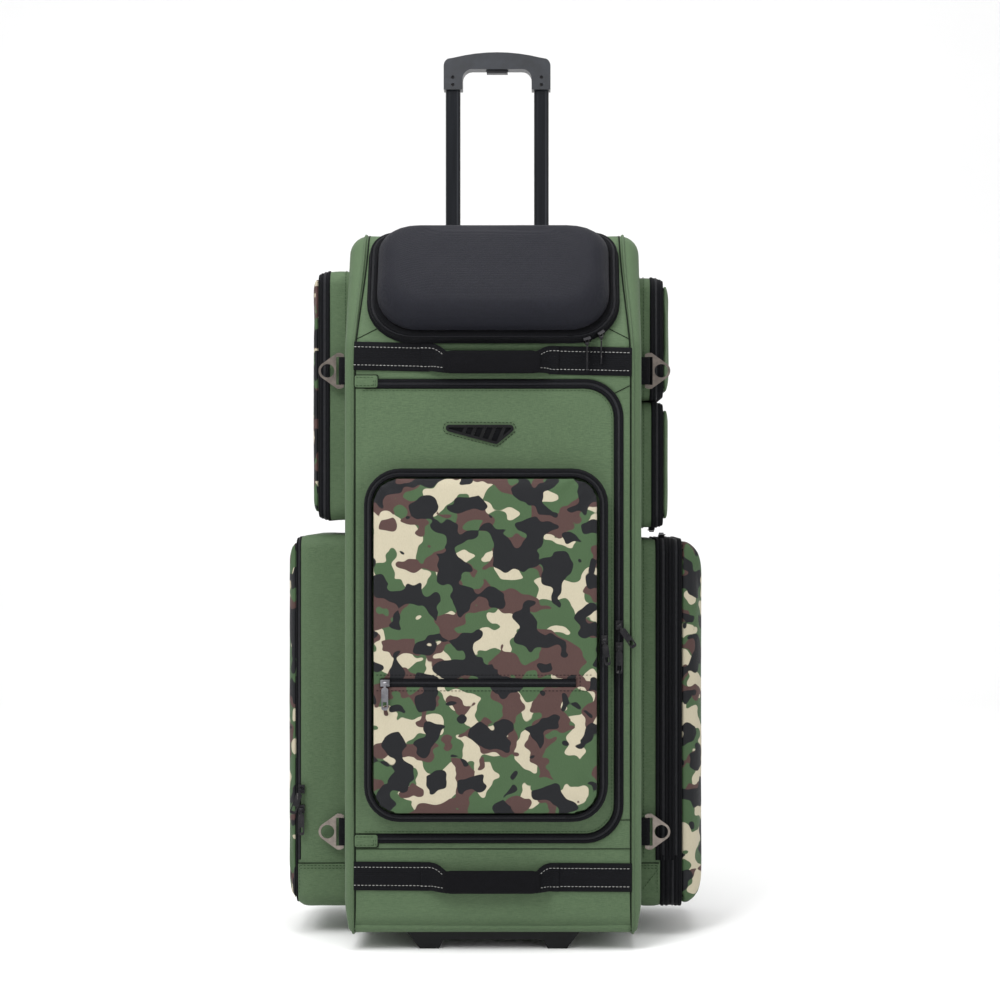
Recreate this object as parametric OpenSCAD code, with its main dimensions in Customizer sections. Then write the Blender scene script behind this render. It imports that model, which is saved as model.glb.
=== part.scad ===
// Upright rolling duffel bag: soft body on a moulded wheel base, telescopic handle,
// front flap with a box pocket on it, moulded case on the shoulder, five side pockets.
// Millimetres. X is the bag's right, Y its back, Z up. The bag stands on Z = 0.

/* [Body] */
// Width of the bag's body
body_w = 402; // [380:2:430]
// Depth of the bag's body, front to back
body_d = 340; // [330:2:360]
// Height of the body's top above the floor
body_top = 978; // [978:1:990]
// Height of the body's underside above the floor
body_base = 24; // [22:1:26]
// Thickness of the padded fabric walls
wall = 6; // [5:0.5:7]

/* [Front flap] */
// Left edge of the flap, where it hinges
flap_x0 = -180; // [-184:1:-178]
// Right edge of the flap's zip
flap_x1 = 176; // [174:1:180]
// Bottom of the flap's zip
flap_z0 = 147; // [145:1:150]
// Top of the flap's zip
flap_z1 = 773; // [768:1:774]
// Corner radius of the flap's zip
flap_r = 52; // [40:1:60]
// Width of the flap's zip
zip_w = 12; // [10:0.5:13]

/* [Box pocket] */
// Depth of the box pocket on the flap
pocket_d = 28; // [22:1:32]
// Thickness of the box pocket's padded panel
panel_t = 8; // [6:0.5:9]
// Corner radius of the box pocket
pocket_r = 46; // [40:1:50]

/* [Shoulder case] */
// Width of the moulded case at its zip
case_w = 340; // [320:2:344]
// Depth of the case's moulded lid
case_lid_d = 44; // [40:1:48]
// Height of the zip wall under the lid
case_zip_h = 12; // [10:0.5:14]

/* [Side pockets] */
// Distance from the body's front to the side pockets' fronts
pocket_set_back = 110; // [105:1:115]
// Depth of the side pockets, front to back
side_pocket_d = 210; // [190:2:214]
// Corner radius of the side pockets
side_pocket_r = 20; // [12:1:24]

/* [Handle] */
// Distance from the middle of the bag to each tube
tube_x = 65.5; // [63:0.5:68]
// Width of the sliding tubes
tube_w = 22; // [21:0.5:23]
// Depth of the sliding tubes
tube_d = 14; // [13:0.5:15]
// Height of the grip's lower ends when the handle is pulled out
grip_z0 = 1217; // [1200:1:1230]
// Travel of the handle
handle_travel = 228; // [200:1:228]

/* [Wheels] */
// Radius of each wheel
wheel_r = 38; // [36:0.5:40]
// Width of each wheel
wheel_w = 24; // [22:0.5:26]
// Distance from the middle of the bag to each wheel
wheel_x = 150; // [145:1:152]
// Radius of each axle
axle_r = 4; // [3.5:0.1:4.5]

/* [Hidden] */
$fn = 48;
gap = 0.3;
front_y = -152;
back_y = front_y + body_d;
side_x = body_w / 2;
inner_x = side_x - wall;
slope_z = 824;
slope_top_y = front_y + 80;
slope_a = atan2(slope_top_y - front_y, body_top - slope_z);
slope_len = norm([slope_top_y - front_y, body_top - slope_z]);
frame_top = slope_z - 2;
back_r = 24;
top_r = 42;
tube_y = back_y - 42;
grip_d = 26;
bezel_z1 = body_top + 8;
wheel_y = back_y - 28;
wheel_z = wheel_r;
strap_t = 2.5;
strap_w = 39;
strap_zs = [781, 82];
sleeve_dz = -5;
box_x0 = -171;
box_x1 = 153;
box_z0 = 180;
box_z1 = 650;
box_y = front_y - pocket_d;
box_rim = 8;
slit_x0 = -150;
slit_x1 = 113;
slit_z0 = 360;
side_y0 = front_y + pocket_set_back;
side_y1 = side_y0 + side_pocket_d;
side_wall = 5;
zip_t = 1.5;
boot_z = 102;
ring_y = side_y0 - 13;
ring_x = side_x + 11;
ring_t = 3;
pin_r = 0.9;
pin_out = 6.5;
pull_len = 36;

// Side pockets: [side, bottom, top, fabric depth, zip depth, lid thickness, boot depth].
left_upper = [-1, 582, 931, 28, 17, 9, 0];
left_lower = [-1, 41, 561, 62, 14, 12, 74];
right_upper = [1, 750, 922, 16, 18, 9, 0];
right_middle = [1, 572, 747, 18, 16, 8, 0];
right_lower = [1, 41, 554, 15, 45, 28, 30];
pockets = [left_upper, left_lower, right_upper, right_middle, right_lower];

// ---------- outlines ----------

function arc(cx, cy, r, a0, a1, n = 6) =
    [for (i = [0:n]) let (a = a0 + (a1 - a0) * i / n) [cx + r * cos(a), cy + r * sin(a)]];

// Rounded rectangle with its own radius at each corner: lower right, upper right, upper left, lower left.
function round_box(x0, z0, x1, z1, r) = concat(
    arc(x1 - r[0], z0 + r[0], r[0], -90, 0),
    arc(x1 - r[1], z1 - r[1], r[1], 0, 90),
    arc(x0 + r[2], z1 - r[2], r[2], 90, 180),
    arc(x0 + r[3], z0 + r[3], r[3], 180, 270)
);

function same(r) = [r, r, r, r];

// Side view of the body, as (y, z), inset by d.
function body_profile(d) = let (y0 = front_y + d, y1 = back_y - d, z1 = body_top - d,
        shift = d / cos(slope_a) - d * tan(slope_a)) concat(
    [[y0, body_base + d], [y1, body_base + d]],
    arc(back_y - back_r, body_top - back_r, back_r - d, 0, 90),
    [[slope_top_y + shift, z1], [y0, slope_z - d * tan(slope_a / 2)]]
);

// ---------- placing ----------

// Extrudes an (x, z) outline along Y, from y0 to y1.
module along_y(y0, y1) {
    translate([0, y1, 0]) rotate([90, 0, 0]) linear_extrude(y1 - y0) children();
}

// Extrudes a (y, z) outline along X, from x0 to x1.
module along_x(x0, x1) {
    translate([x0, 0, 0]) rotate([90, 0, 90]) linear_extrude(x1 - x0) children();
}

// The body's sloping shoulder: local Z runs up the slope and local -Y out of it.
module on_slope() {
    translate([0, front_y, slope_z]) rotate([-slope_a, 0, 0]) children();
}

module on_side(side) {
    if (side > 0) children();
    else mirror([1, 0, 0]) children();
}

module block(x0, x1, y0, y1, z0, z1) {
    translate([x0, y0, z0]) cube([x1 - x0, y1 - y0, z1 - z0]);
}

// An oval tube's outline: width w along X, depth d along Y.
module oval(w, d) {
    square([w - d, d], center = true);
    for (s = [-1, 1]) translate([s * (w - d) / 2, 0]) circle(d = d);
}

module rod_x(x0, x1, y, z, r) {
    translate([x0, y, z]) rotate([0, 90, 0]) cylinder(r = r, h = x1 - x0);
}

// ---------- body ----------

// The body's outside, inset by d: its side view crossed with its front view.
module body_shape(d) {
    intersection() {
        along_x(-side_x, side_x) polygon(body_profile(d));
        along_y(front_y - 1, back_y + 1) polygon(round_box(-side_x + d, body_base - 1, side_x - d, body_top - d,
            [0.1, top_r - d, top_r - d, 0.1]));
    }
}

module side_panel(side) {
    color("darkolivegreen") on_side(side) intersection() {
        along_x(inner_x, side_x) polygon(body_profile(0));
        block(inner_x, side_x, front_y, back_y, body_base, body_top - top_r);
    }
}

module left_side_panel() { side_panel(-1); }

module right_side_panel() { side_panel(1); }

// The zip's outer line. It ends short of the hinge, where two fabric tabs cover its ends.
module flap_window() {
    polygon(round_box(flap_x0 + 20, flap_z0, flap_x1, flap_z1, [flap_r, flap_r, 0.5, 0.5]));
}

module flap_outline(d) {
    r = flap_r - zip_w;
    polygon(round_box(flap_x0 + d, flap_z0 + zip_w + d, flap_x1 - zip_w - d, flap_z1 - zip_w - d,
        [r, r, 0.5, 0.5]));
}

module front_frame() {
    color("darkolivegreen") difference() {
        block(-inner_x, inner_x, front_y, front_y + wall, body_base, frame_top);
        along_y(front_y - 1, front_y + wall + 1) {
            flap_window();
            flap_outline(0);
        }
    }
}

module flap_zip() {
    color("black") along_y(front_y - 0.5, front_y + 2) difference() {
        intersection() {
            flap_window();
            translate([flap_x0 + 21, 0]) square([body_w, body_top]);
        }
        flap_outline(0);
    }
}

// The shoulder, the top and the rounded corners down to the side panels.
module top_panel() {
    color("darkolivegreen") difference() {
        body_shape(0);
        body_shape(wall);
        block(-side_x - 1, side_x + 1, front_y - 1, back_y + 1, 0, frame_top);
        block(-inner_x, inner_x, back_y - wall, back_y + 1, 0, body_top - back_r);
        for (s = [-1, 1]) on_side(s) block(inner_x, side_x + 1, front_y - 1, back_y + 1, 0, body_top - top_r);
        for (s = [-1, 1]) translate([s * tube_x, tube_y, body_top - 20]) linear_extrude(30)
            oval(tube_w + 4.6, tube_d + 4.6);
    }
}

// Room for the two wheel housings.
module housing_room() {
    for (s = [-1, 1]) block(s * wheel_x - 21, s * wheel_x + 21, wheel_y - 66, back_y + 10, 0, 92);
}

module back_panel() {
    color("darkolivegreen") difference() {
        block(-inner_x, inner_x, back_y - wall, back_y, body_base, body_top - back_r);
        housing_room();
    }
}

module base_panel() {
    color("darkolivegreen") difference() {
        block(-inner_x, inner_x, front_y + wall, back_y - wall, body_base, body_base + wall);
        housing_room();
    }
}

module grab_straps() {
    color("black") for (z = strap_zs) {
        block(-186, -85, front_y - strap_t, front_y, z, z + strap_w);
        block(76, 186, front_y - strap_t, front_y, z, z + strap_w);
    }
}

// A slack loop of webbing with a padded sleeve. Its feet lie on the stitched straps.
module grab_handle(z) {
    mid = z + strap_w / 2 + sleeve_dz;
    y = front_y - strap_t - gap;
    color("black") {
        block(-67, 64, y - 17, y - 7, mid - 15.5, mid + 15.5);
        translate([0, 0, mid - 14]) linear_extrude(28) for (e = [[-67, -96], [64, 88]]) {
            mid_x = e[0] + (e[1] > 0 ? 16 : -18);
            polygon([[e[0], y - 10], [mid_x, y], [e[1], y], [e[1], y - 2], [mid_x, y - 2.5], [e[0], y - 13]]);
        }
    }
}

module upper_grab_handle() { grab_handle(strap_zs[0]); }

module lower_grab_handle() { grab_handle(strap_zs[1]); }

// ---------- moulded case on the shoulder ----------

case_top = 169;
case_edge_r = 28;

// The case's outline on the slope, inset by dx at its sides and by dz at its ends.
module case_outline(dx, dz) {
    x = case_w / 2 - dx;
    r = [max(62 - dx, 8), max(34 - dx, 8)];
    polygon(round_box(-x, -2 + dz, x, case_top - dz, [r[0], r[1], r[1], r[0]]));
}

// A zip wall round the case, with a narrow flange at its top for the lid to close on.
module case_zip() {
    color("black") on_slope() {
        along_y(-case_zip_h, 0) difference() {
            case_outline(0, 0);
            case_outline(5, 5);
        }
        along_y(-case_zip_h, -case_zip_h + 2) difference() {
            case_outline(0, 0);
            case_outline(17, 11);
        }
    }
}

// The lid's outside, inset by d, with its edges rounded off in steps.
module case_shell(d) {
    y = -case_zip_h - gap;
    r = case_edge_r - d;
    hull() {
        along_y(y - 1, y) case_outline(12 + d, 6 + d);
        for (a = [0:15:90]) {
            inset = d + r * (1 - cos(a));
            depth = case_lid_d - case_edge_r + r * sin(a);
            along_y(y - depth, y - depth + 0.5) case_outline(12 + inset, 6 + inset);
        }
    }
}

module case_lid() {
    color("black") on_slope() difference() {
        case_shell(0);
        translate([0, 0.01, 0]) case_shell(4);
    }
}

// ---------- side pockets ----------

function pocket_zip_x(p) = side_x + p[3];
function pocket_rim_x(p) = side_x + p[3] + p[4];

module pocket_outline(p, d) {
    polygon(round_box(side_y0 + d, p[1] + d, side_y1 - d, p[2] - d, same(side_pocket_r - d)));
}

module pocket_ring(p, x0, x1, out, t) {
    along_x(x0, x1) difference() {
        pocket_outline(p, -out);
        pocket_outline(p, t);
    }
}

// The fabric wall, with a boot round the foot of the two tall pockets.
module side_pocket(p) {
    color("darkolivegreen") on_side(p[0]) {
        pocket_ring(p, side_x, pocket_rim_x(p), 0, side_wall);
        if (p[6] > 0) intersection() {
            pocket_ring(p, side_x, side_x + p[6], zip_t, 0);
            block(side_x, side_x + p[6], side_y0 - 5, side_y1 + 5, 0, boot_z);
        }
    }
}

module left_upper_pocket() { side_pocket(left_upper); }

module left_lower_pocket() { side_pocket(left_lower); }

module right_upper_pocket() { side_pocket(right_upper); }

module right_middle_pocket() { side_pocket(right_middle); }

module right_lower_pocket() { side_pocket(right_lower); }

// Each zip wraps the outer end of its pocket's wall, above the boot if there is one.
module side_zips() {
    color("black") for (p = pockets) on_side(p[0]) difference() {
        pocket_ring(p, pocket_zip_x(p), pocket_rim_x(p) - gap, zip_t, 0);
        if (p[6] > 0) block(side_x, side_x + p[6] + 0.1, side_y0 - 5, side_y1 + 5, 0, boot_z + gap);
    }
}

module pocket_lid(p) {
    x = pocket_rim_x(p) + gap;
    on_side(p[0]) along_x(x, x + p[5] - gap) pocket_outline(p, 0);
}

module left_upper_lid() { color("tan") pocket_lid(left_upper); }

module left_lower_lid() { color("tan") pocket_lid(left_lower); }

module right_upper_lid() { color("darkolivegreen") pocket_lid(right_upper); }

module right_middle_lid() { color("darkolivegreen") pocket_lid(right_middle); }

module right_lower_lid() { color("tan") pocket_lid(right_lower); }

// ---------- strap rings ----------

ring_zs = [790, 148];

module ring_loops() {
    color("black") for (s = [-1, 1], z = ring_zs) on_side(s) difference() {
        block(side_x, side_x + 15, ring_y - 5, ring_y + 5, z - 19, z + 19);
        translate([ring_x, ring_y, z - 20]) cylinder(r = 3, h = 40);
    }
}

ring_hole_u = 20.5;
ring_hole_r = 9.4;

// A cast triangular ring: a bar in the webbing loop, a slot, and a plate with a round hole.
module strap_ring(side, z) {
    color("silver") on_side(side) translate([ring_x, 0, z]) along_y(ring_y - ring_t / 2, ring_y + ring_t / 2)
    difference() {
        union() {
            translate([ring_hole_u, 0]) circle(r = 12.5);
            polygon([[-2, -23], [2, -25], [7, -25], [27, -10.7], [27, 10.7], [7, 25], [2, 25], [-2, 23]]);
        }
        translate([ring_hole_u, 0]) circle(r = ring_hole_r);
        translate([2, -19.5]) square([6.5, 39]);
    }
}

module ring_upper_left() { strap_ring(-1, ring_zs[0]); }

module ring_upper_right() { strap_ring(1, ring_zs[0]); }

module ring_lower_left() { strap_ring(-1, ring_zs[1]); }

module ring_lower_right() { strap_ring(1, ring_zs[1]); }

// ---------- telescopic handle ----------

module outer_tubes() {
    color("dimgray") for (s = [-1, 1]) translate([s * tube_x, tube_y, 38]) linear_extrude(body_top - 38)
        difference() {
            oval(tube_w + 4, tube_d + 4);
            oval(tube_w + 0.6, tube_d + 0.6);
        }
}

module tube_bezel() {
    color("black") difference() {
        translate([0, tube_y, body_top]) linear_extrude(bezel_z1 - body_top) oval(190, 32);
        for (s = [-1, 1]) translate([s * tube_x, tube_y, body_top - 1]) linear_extrude(12)
            oval(tube_w + 0.8, tube_d + 0.8);
    }
}

tube_z0 = 700;
tube_z1 = 1247;

module inner_tubes() {
    color("dimgray") for (s = [-1, 1]) translate([s * tube_x, tube_y, tube_z0])
        linear_extrude(tube_z1 - tube_z0) difference() {
            oval(tube_w, tube_d);
            oval(tube_w - 2.4, tube_d - 2.4);
        }
}

grip_x = 79;
grip_leg = 28;
grip_top = 1272;
grip_bar_z = 1247;

module grip_outline() {
    xi = grip_x - grip_leg;
    polygon(concat(
        [[-grip_x, grip_z0], [-xi, grip_z0]],
        arc(-xi + 14, grip_bar_z - 14, 14, 180, 90),
        arc(xi - 14, grip_bar_z - 14, 14, 90, 0),
        [[xi, grip_z0], [grip_x, grip_z0]],
        arc(grip_x - 12, grip_top - 20, 12, 0, 60),
        arc(0, grip_top - 260, 260, 76, 104, 8),
        arc(-grip_x + 12, grip_top - 20, 12, 120, 180)
    ));
}

module handle_grip() {
    color("dimgray") difference() {
        along_y(tube_y - grip_d / 2, tube_y + grip_d / 2) grip_outline();
        for (s = [-1, 1]) translate([s * tube_x, tube_y, 0]) {
            translate([0, 0, grip_z0 - 1]) linear_extrude(tube_z1 - grip_z0 + 1)
                oval(tube_w + 0.1, tube_d + 0.1);
            translate([0, 0, tube_z1 - 1]) cylinder(r = 3, h = 8);
            for (z = [-12, -23]) translate([0, -grip_d / 2 - 1, tube_z1 + z]) rotate([-90, 0, 0])
                cylinder(r = 2.6, h = 6);
        }
        block(-tube_x - 5, tube_x + 5, tube_y - 5, tube_y + 5, 1251, 1263);
        block(-16.5, 16.5, tube_y - 7.5, tube_y + 7.5, 1240, 1256);
    }
}

module grip_screws() {
    color("black") for (s = [-1, 1], z = [-12, -23]) translate([s * tube_x, tube_y - grip_d / 2, tube_z1 + z])
        rotate([-90, 0, 0]) difference() {
            translate([0, 0, 1.5]) cylinder(r = 2.5, h = 3.5);
            translate([0, 0, 0]) cylinder(r = 1.2, h = 3, $fn = 6);
        }
}

module release_button() {
    color("black") block(-15.5, 15.5, tube_y - 6.5, tube_y + 6.5, 1242, 1252);
}

// A bar across the grip and a rod down each tube to the lock.
module push_rods() {
    color("silver") {
        block(-tube_x - 3, tube_x + 3, tube_y - 3, tube_y + 3, 1252, 1257);
        for (s = [-1, 1]) translate([s * tube_x, tube_y, tube_z0 + 22]) cylinder(r = 2, h = 1252 - tube_z0 - 22);
    }
}

// ---------- wheels and base ----------

// Two wheel housings joined by a beam that holds the lower ends of the fixed tubes.
module wheel_base() {
    color("black") difference() {
        union() {
            for (s = [-1, 1]) translate([s * wheel_x, wheel_y, 0]) along_x(-21, 21)
                polygon([[-66, 24], [-44, 8], [-14, 8], [-14, 30], [33, 30], [33, 92], [-66, 92]]);
            for (s = [-1, 1], e = [-21, 16]) translate([s * wheel_x + e, 0, 0])
                rod_x(0, 5, wheel_y, wheel_z, 16);
            block(-wheel_x, wheel_x, tube_y - 20, tube_y + 20, 30, 54);
        }
        for (s = [-1, 1]) {
            rod_x(s * wheel_x - 16, s * wheel_x + 16, wheel_y, wheel_z, wheel_r + 6);
            block(s * wheel_x - 16, s * wheel_x + 16, wheel_y, wheel_y + 46, -10, wheel_z);
            rod_x(s * wheel_x - 30, s * wheel_x + 30, wheel_y, wheel_z, axle_r + 0.1);
            for (e = [-31, 21]) rod_x(s * wheel_x + e, s * wheel_x + e + 10, wheel_y, wheel_z, 7.5);
            translate([s * tube_x, tube_y, 38]) linear_extrude(30) oval(tube_w + 4, tube_d + 4);
        }
    }
}

module axles() {
    color("silver") for (s = [-1, 1]) {
        rod_x(s * wheel_x - 24, s * wheel_x + 24, wheel_y, wheel_z, axle_r);
        for (e = [-25, 21]) rod_x(s * wheel_x + e, s * wheel_x + e + 4, wheel_y, wheel_z, 7);
    }
}

module wheel_tyre(side) {
    color("dimgray") difference() {
        union() {
            rod_x(side * wheel_x - wheel_w / 2 + 4, side * wheel_x + wheel_w / 2 - 4, wheel_y, wheel_z, wheel_r);
            rod_x(side * wheel_x - wheel_w / 2, side * wheel_x + wheel_w / 2, wheel_y, wheel_z, wheel_r - 4);
        }
        rod_x(side * wheel_x - 20, side * wheel_x + 20, wheel_y, wheel_z, 25);
    }
}

module wheel_hub(side) {
    color("gray") difference() {
        union() {
            rod_x(side * wheel_x - wheel_w / 2 + 1, side * wheel_x + wheel_w / 2 - 1, wheel_y, wheel_z, 25);
            rod_x(side * wheel_x - 15, side * wheel_x + 15, wheel_y, wheel_z, 9);
        }
        rod_x(side * wheel_x - 20, side * wheel_x + 20, wheel_y, wheel_z, axle_r + 0.05);
        for (a = [0:60:300]) rod_x(side * wheel_x - 20, side * wheel_x + 20,
            wheel_y + 16.5 * cos(a), wheel_z + 16.5 * sin(a), 4.5);
    }
}

module left_tyre() { wheel_tyre(-1); }

module left_hub() { wheel_hub(-1); }

module right_tyre() { wheel_tyre(1); }

module right_hub() { wheel_hub(1); }

module foot_skid() {
    color("black") along_y(front_y + 22, front_y + 58) polygon([
        [-118, body_base], [-100, 0], [-74, 0], [-68, 12], [68, 12], [74, 0], [100, 0], [118, body_base]
    ]);
}

// ---------- front flap ----------

module flap_panel() {
    color("darkolivegreen") along_y(front_y, front_y + wall) flap_outline(gap);
}

// A three-cornered vent with slanted slats, set on the flap. Its outline is drawn with rounded corners of radius r.
module vent_outline(r) {
    hull() {
        translate([-59, 707]) circle(r = r);
        translate([23, 706.5]) circle(r = r + 0.5);
        translate([4, 690.5]) circle(r = r + 0.5);
    }
}

module vent_grille() {
    color("black") {
        along_y(front_y - 3, front_y) difference() {
            vent_outline(4.5);
            vent_outline(1);
        }
        along_y(front_y - 2.2, front_y) intersection() {
            vent_outline(1.2);
            for (x = [-40:13:25]) polygon([[x - 9, 684], [x - 4, 684], [x + 8, 713], [x + 3, 713]]);
        }
    }
}

module box_outline(d) {
    polygon(round_box(box_x0 + d, box_z0 + d, box_x1 - d, box_z1 - d, same(pocket_r - d)));
}

module box_pocket_zip() {
    color("black") along_y(box_y, front_y) difference() {
        box_outline(0);
        box_outline(box_rim - 1);
    }
}

module box_pocket_panel() {
    color("tan") along_y(box_y - gap - panel_t, box_y - gap) difference() {
        box_outline(box_rim);
        translate([slit_x0, slit_z0]) square([slit_x1 - slit_x0, zip_w]);
    }
}

module slit_zip() {
    y = box_y - gap - panel_t;
    color("black") block(slit_x0, slit_x1, y, y + 3, slit_z0, slit_z0 + zip_w);
}

// ---------- zip sliders and pulls ----------

// A slider on the surface y = 0: body, two posts and the pin that the pull hangs on. Turn is the pull's lean.
module slider(wide, tall, turn = 0) {
    difference() {
        block(-wide / 2, wide / 2, -4, 0, -tall / 2, tall / 2);
        block(-wide / 2 - 1, wide / 2 + 1, -5, -3, -tall / 2 - 1, -tall / 2 + 1.5);
    }
    rotate([0, turn, 0]) {
        rod_x(-3, 3, -pin_out, 0, pin_r);
        for (x = [-3.4, 2.4]) block(x, x + 1, -pin_out - pin_r, -3.5, -1.2, 1.2);
    }
}

// The pull: an eye on the pin and a tab with a slot near its end.
module pull(turn = 0, length = pull_len, wide = 9) {
    rotate([0, turn, 0]) translate([0, -pin_out, 0]) difference() {
        union() {
            rod_x(-2.1, 2.1, 0, 0, 2.3);
            block(-1.6, 1.6, -1, 1, -7, -1.5);
            along_y(-1, 1) polygon(round_box(-wide / 2, -length, wide / 2, -6, same(3)));
        }
        rod_x(-3, 3, 0, 0, pin_r + gap);
        block(-2.6, 2.6, -2, 2, 4 - length, 11 - length);
    }
}

flap_slider_x = flap_x1 - zip_w / 2 + 0.3;
flap_slider_zs = [441, 412];
flap_pull_lean = -35;
flap_slider_y = front_y - 0.8;
box_slider_x = box_x1 - 3.4;
box_slider_z = 423;
box_pull_lean = -8;
slit_slider_x = -143;

module at_flap_slider(i) { translate([flap_slider_x, flap_slider_y, flap_slider_zs[i]]) children(); }

module at_box_slider() { translate([box_slider_x, box_y - gap, box_slider_z]) children(); }

module at_slit_slider() {
    translate([slit_slider_x, box_y - gap - panel_t - gap, slit_z0 + zip_w / 2]) children();
}

module flap_slider_upper() { color("dimgray") at_flap_slider(0) slider(9, 12, flap_pull_lean); }

module flap_pull_upper() { color("dimgray") at_flap_slider(0) pull(flap_pull_lean); }

module flap_slider_lower() { color("dimgray") at_flap_slider(1) slider(9, 12); }

module flap_pull_lower() { color("dimgray") at_flap_slider(1) pull(); }

module box_slider() { color("dimgray") at_box_slider() slider(7.4, 12, box_pull_lean); }

module box_pull() { color("dimgray") at_box_slider() pull(box_pull_lean, 34, 8); }

module slit_slider() { color("gray") at_slit_slider() slider(12, 9); }

module slit_pull() { color("gray") at_slit_slider() pull(); }

// A point on the shoulder's slope, in the bag's own axes.
function slope_point(x, y, z) = [
    x,
    front_y + y * cos(slope_a) + z * sin(slope_a),
    slope_z - y * sin(slope_a) + z * cos(slope_a)
];

// The case's two sliders sit round its lower right corner, and their pulls hang edge-on.
case_slider_turns = [17, 36];
case_pull_len = 36;

function case_slider_u(a) = [case_w / 2 - 62 + 64.8 * sin(a), 60 - 64.8 * cos(a)];
function case_pin(a) = let (u = case_slider_u(a)) slope_point(u[0], -8, u[1]) + [0, -3.8, -5.8];

module case_slider(a) {
    pin = case_pin(a);
    on_slope() translate([case_w / 2 - 62, 0, 60]) rotate([0, -a, 0]) block(-5, 5, -11, -4, -67, -62.3);
    translate(pin) {
        rod_x(-2.4, 2.4, 0, 0, pin_r);
        for (e = [-2.7, 1.7]) block(e, e + 1, -1.4, 1.4, -1.4, 5);
    }
}

module case_pull(a) {
    color("dimgray") translate(case_pin(a)) difference() {
        union() {
            rod_x(-1.2, 1.2, 0, 0, 2.3);
            along_x(-1, 1) polygon(round_box(-4, -case_pull_len, 4, -3, same(2.5)));
            block(-1, 1, -1.6, 1.6, -5, -1.5);
        }
        rod_x(-3, 3, 0, 0, pin_r + gap);
        block(-2, 2, -2, 2, 3 - case_pull_len, 9 - case_pull_len);
    }
}

module case_pull_left() { case_pull(case_slider_turns[0]); }

module case_pull_right() { case_pull(case_slider_turns[1]); }

left_lower_slider_zs = [206, 178];
left_lower_leans = [20, 0];

module at_left_lower_slider(i) {
    x = -(pocket_zip_x(left_lower) + left_lower[4] / 2);
    translate([x, side_y0 - zip_t - gap, left_lower_slider_zs[i]]) children();
}

module left_lower_pull_upper() { color("dimgray") at_left_lower_slider(0) pull(left_lower_leans[0]); }

module left_lower_pull_lower() { color("dimgray") at_left_lower_slider(1) pull(left_lower_leans[1]); }

// The other side pockets' sliders: [pocket, 1 on its zip's top or -1 beneath it, distance from its back].
plain_sliders = [[left_upper, 1, 60], [right_upper, 1, 60], [right_middle, -1, 60], [right_lower, 1, 110]];

// A slider that stands on top of a zip, with its pull lying back.
module plain_slider(p, up, from_back) {
    x = p[0] * (pocket_zip_x(p) + p[4] / 2);
    z = up > 0 ? p[2] + zip_t : p[1] - zip_t;
    translate([x, side_y1 - from_back, z]) rotate([-90 * up, 0, 0]) {
        slider(9, 12);
        block(-4.5, 4.5, -5.5, -4, -30, -8);
        block(-1.6, 1.6, -5.5, -4, -9, -5);
    }
}

module zip_sliders() {
    color("dimgray") {
        for (a = case_slider_turns) case_slider(a);
        for (i = [0, 1]) at_left_lower_slider(i) slider(9, 12, left_lower_leans[i]);
        for (q = plain_sliders) plain_slider(q[0], q[1], q[2]);
    }
}

// ---------- one line per node ----------

left_side_panel();
right_side_panel();
front_frame();
top_panel();
back_panel();
base_panel();
grab_straps();
flap_zip();
case_zip();
side_zips();
outer_tubes();
tube_bezel();
wheel_base();
axles();
foot_skid();
ring_loops();
left_upper_pocket();
left_lower_pocket();
right_upper_pocket();
right_middle_pocket();
right_lower_pocket();
zip_sliders();
inner_tubes();
handle_grip();
grip_screws();
release_button();
push_rods();
left_tyre();
left_hub();
right_tyre();
right_hub();
flap_panel();
box_pocket_zip();
vent_grille();
box_pocket_panel();
slit_zip();
case_lid();
left_upper_lid();
left_lower_lid();
right_upper_lid();
right_middle_lid();
right_lower_lid();
ring_upper_left();
ring_upper_right();
ring_lower_left();
ring_lower_right();
upper_grab_handle();
lower_grab_handle();
slit_slider();
slit_pull();
flap_slider_upper();
flap_pull_upper();
flap_slider_lower();
flap_pull_lower();
box_slider();
box_pull();
case_pull_left();
case_pull_right();
left_lower_pull_upper();
left_lower_pull_lower();
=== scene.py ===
import math

import bmesh
import bpy
import numpy as np
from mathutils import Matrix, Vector
from mathutils.bvhtree import BVHTree


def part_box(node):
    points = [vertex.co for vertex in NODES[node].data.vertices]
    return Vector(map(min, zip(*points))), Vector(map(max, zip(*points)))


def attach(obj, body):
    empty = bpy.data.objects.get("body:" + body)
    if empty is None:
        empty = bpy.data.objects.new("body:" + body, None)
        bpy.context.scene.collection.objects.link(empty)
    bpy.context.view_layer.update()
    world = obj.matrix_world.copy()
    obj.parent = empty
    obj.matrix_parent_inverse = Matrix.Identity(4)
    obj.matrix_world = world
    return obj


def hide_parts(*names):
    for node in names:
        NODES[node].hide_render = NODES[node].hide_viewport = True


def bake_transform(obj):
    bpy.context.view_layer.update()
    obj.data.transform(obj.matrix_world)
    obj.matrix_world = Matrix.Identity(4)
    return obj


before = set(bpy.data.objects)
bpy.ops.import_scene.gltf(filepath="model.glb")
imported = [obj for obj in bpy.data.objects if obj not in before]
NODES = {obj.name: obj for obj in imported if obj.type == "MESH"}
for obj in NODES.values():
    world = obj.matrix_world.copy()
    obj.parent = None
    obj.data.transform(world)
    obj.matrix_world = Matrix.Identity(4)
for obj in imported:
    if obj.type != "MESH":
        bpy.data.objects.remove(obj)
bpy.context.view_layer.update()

# Geometry is written in millimetres, and scaled to metres as each mesh is made.
MM = 0.001


def box_mm(name):
    lo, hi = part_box(name)
    return np.array(lo) / MM, np.array(hi) / MM


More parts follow.
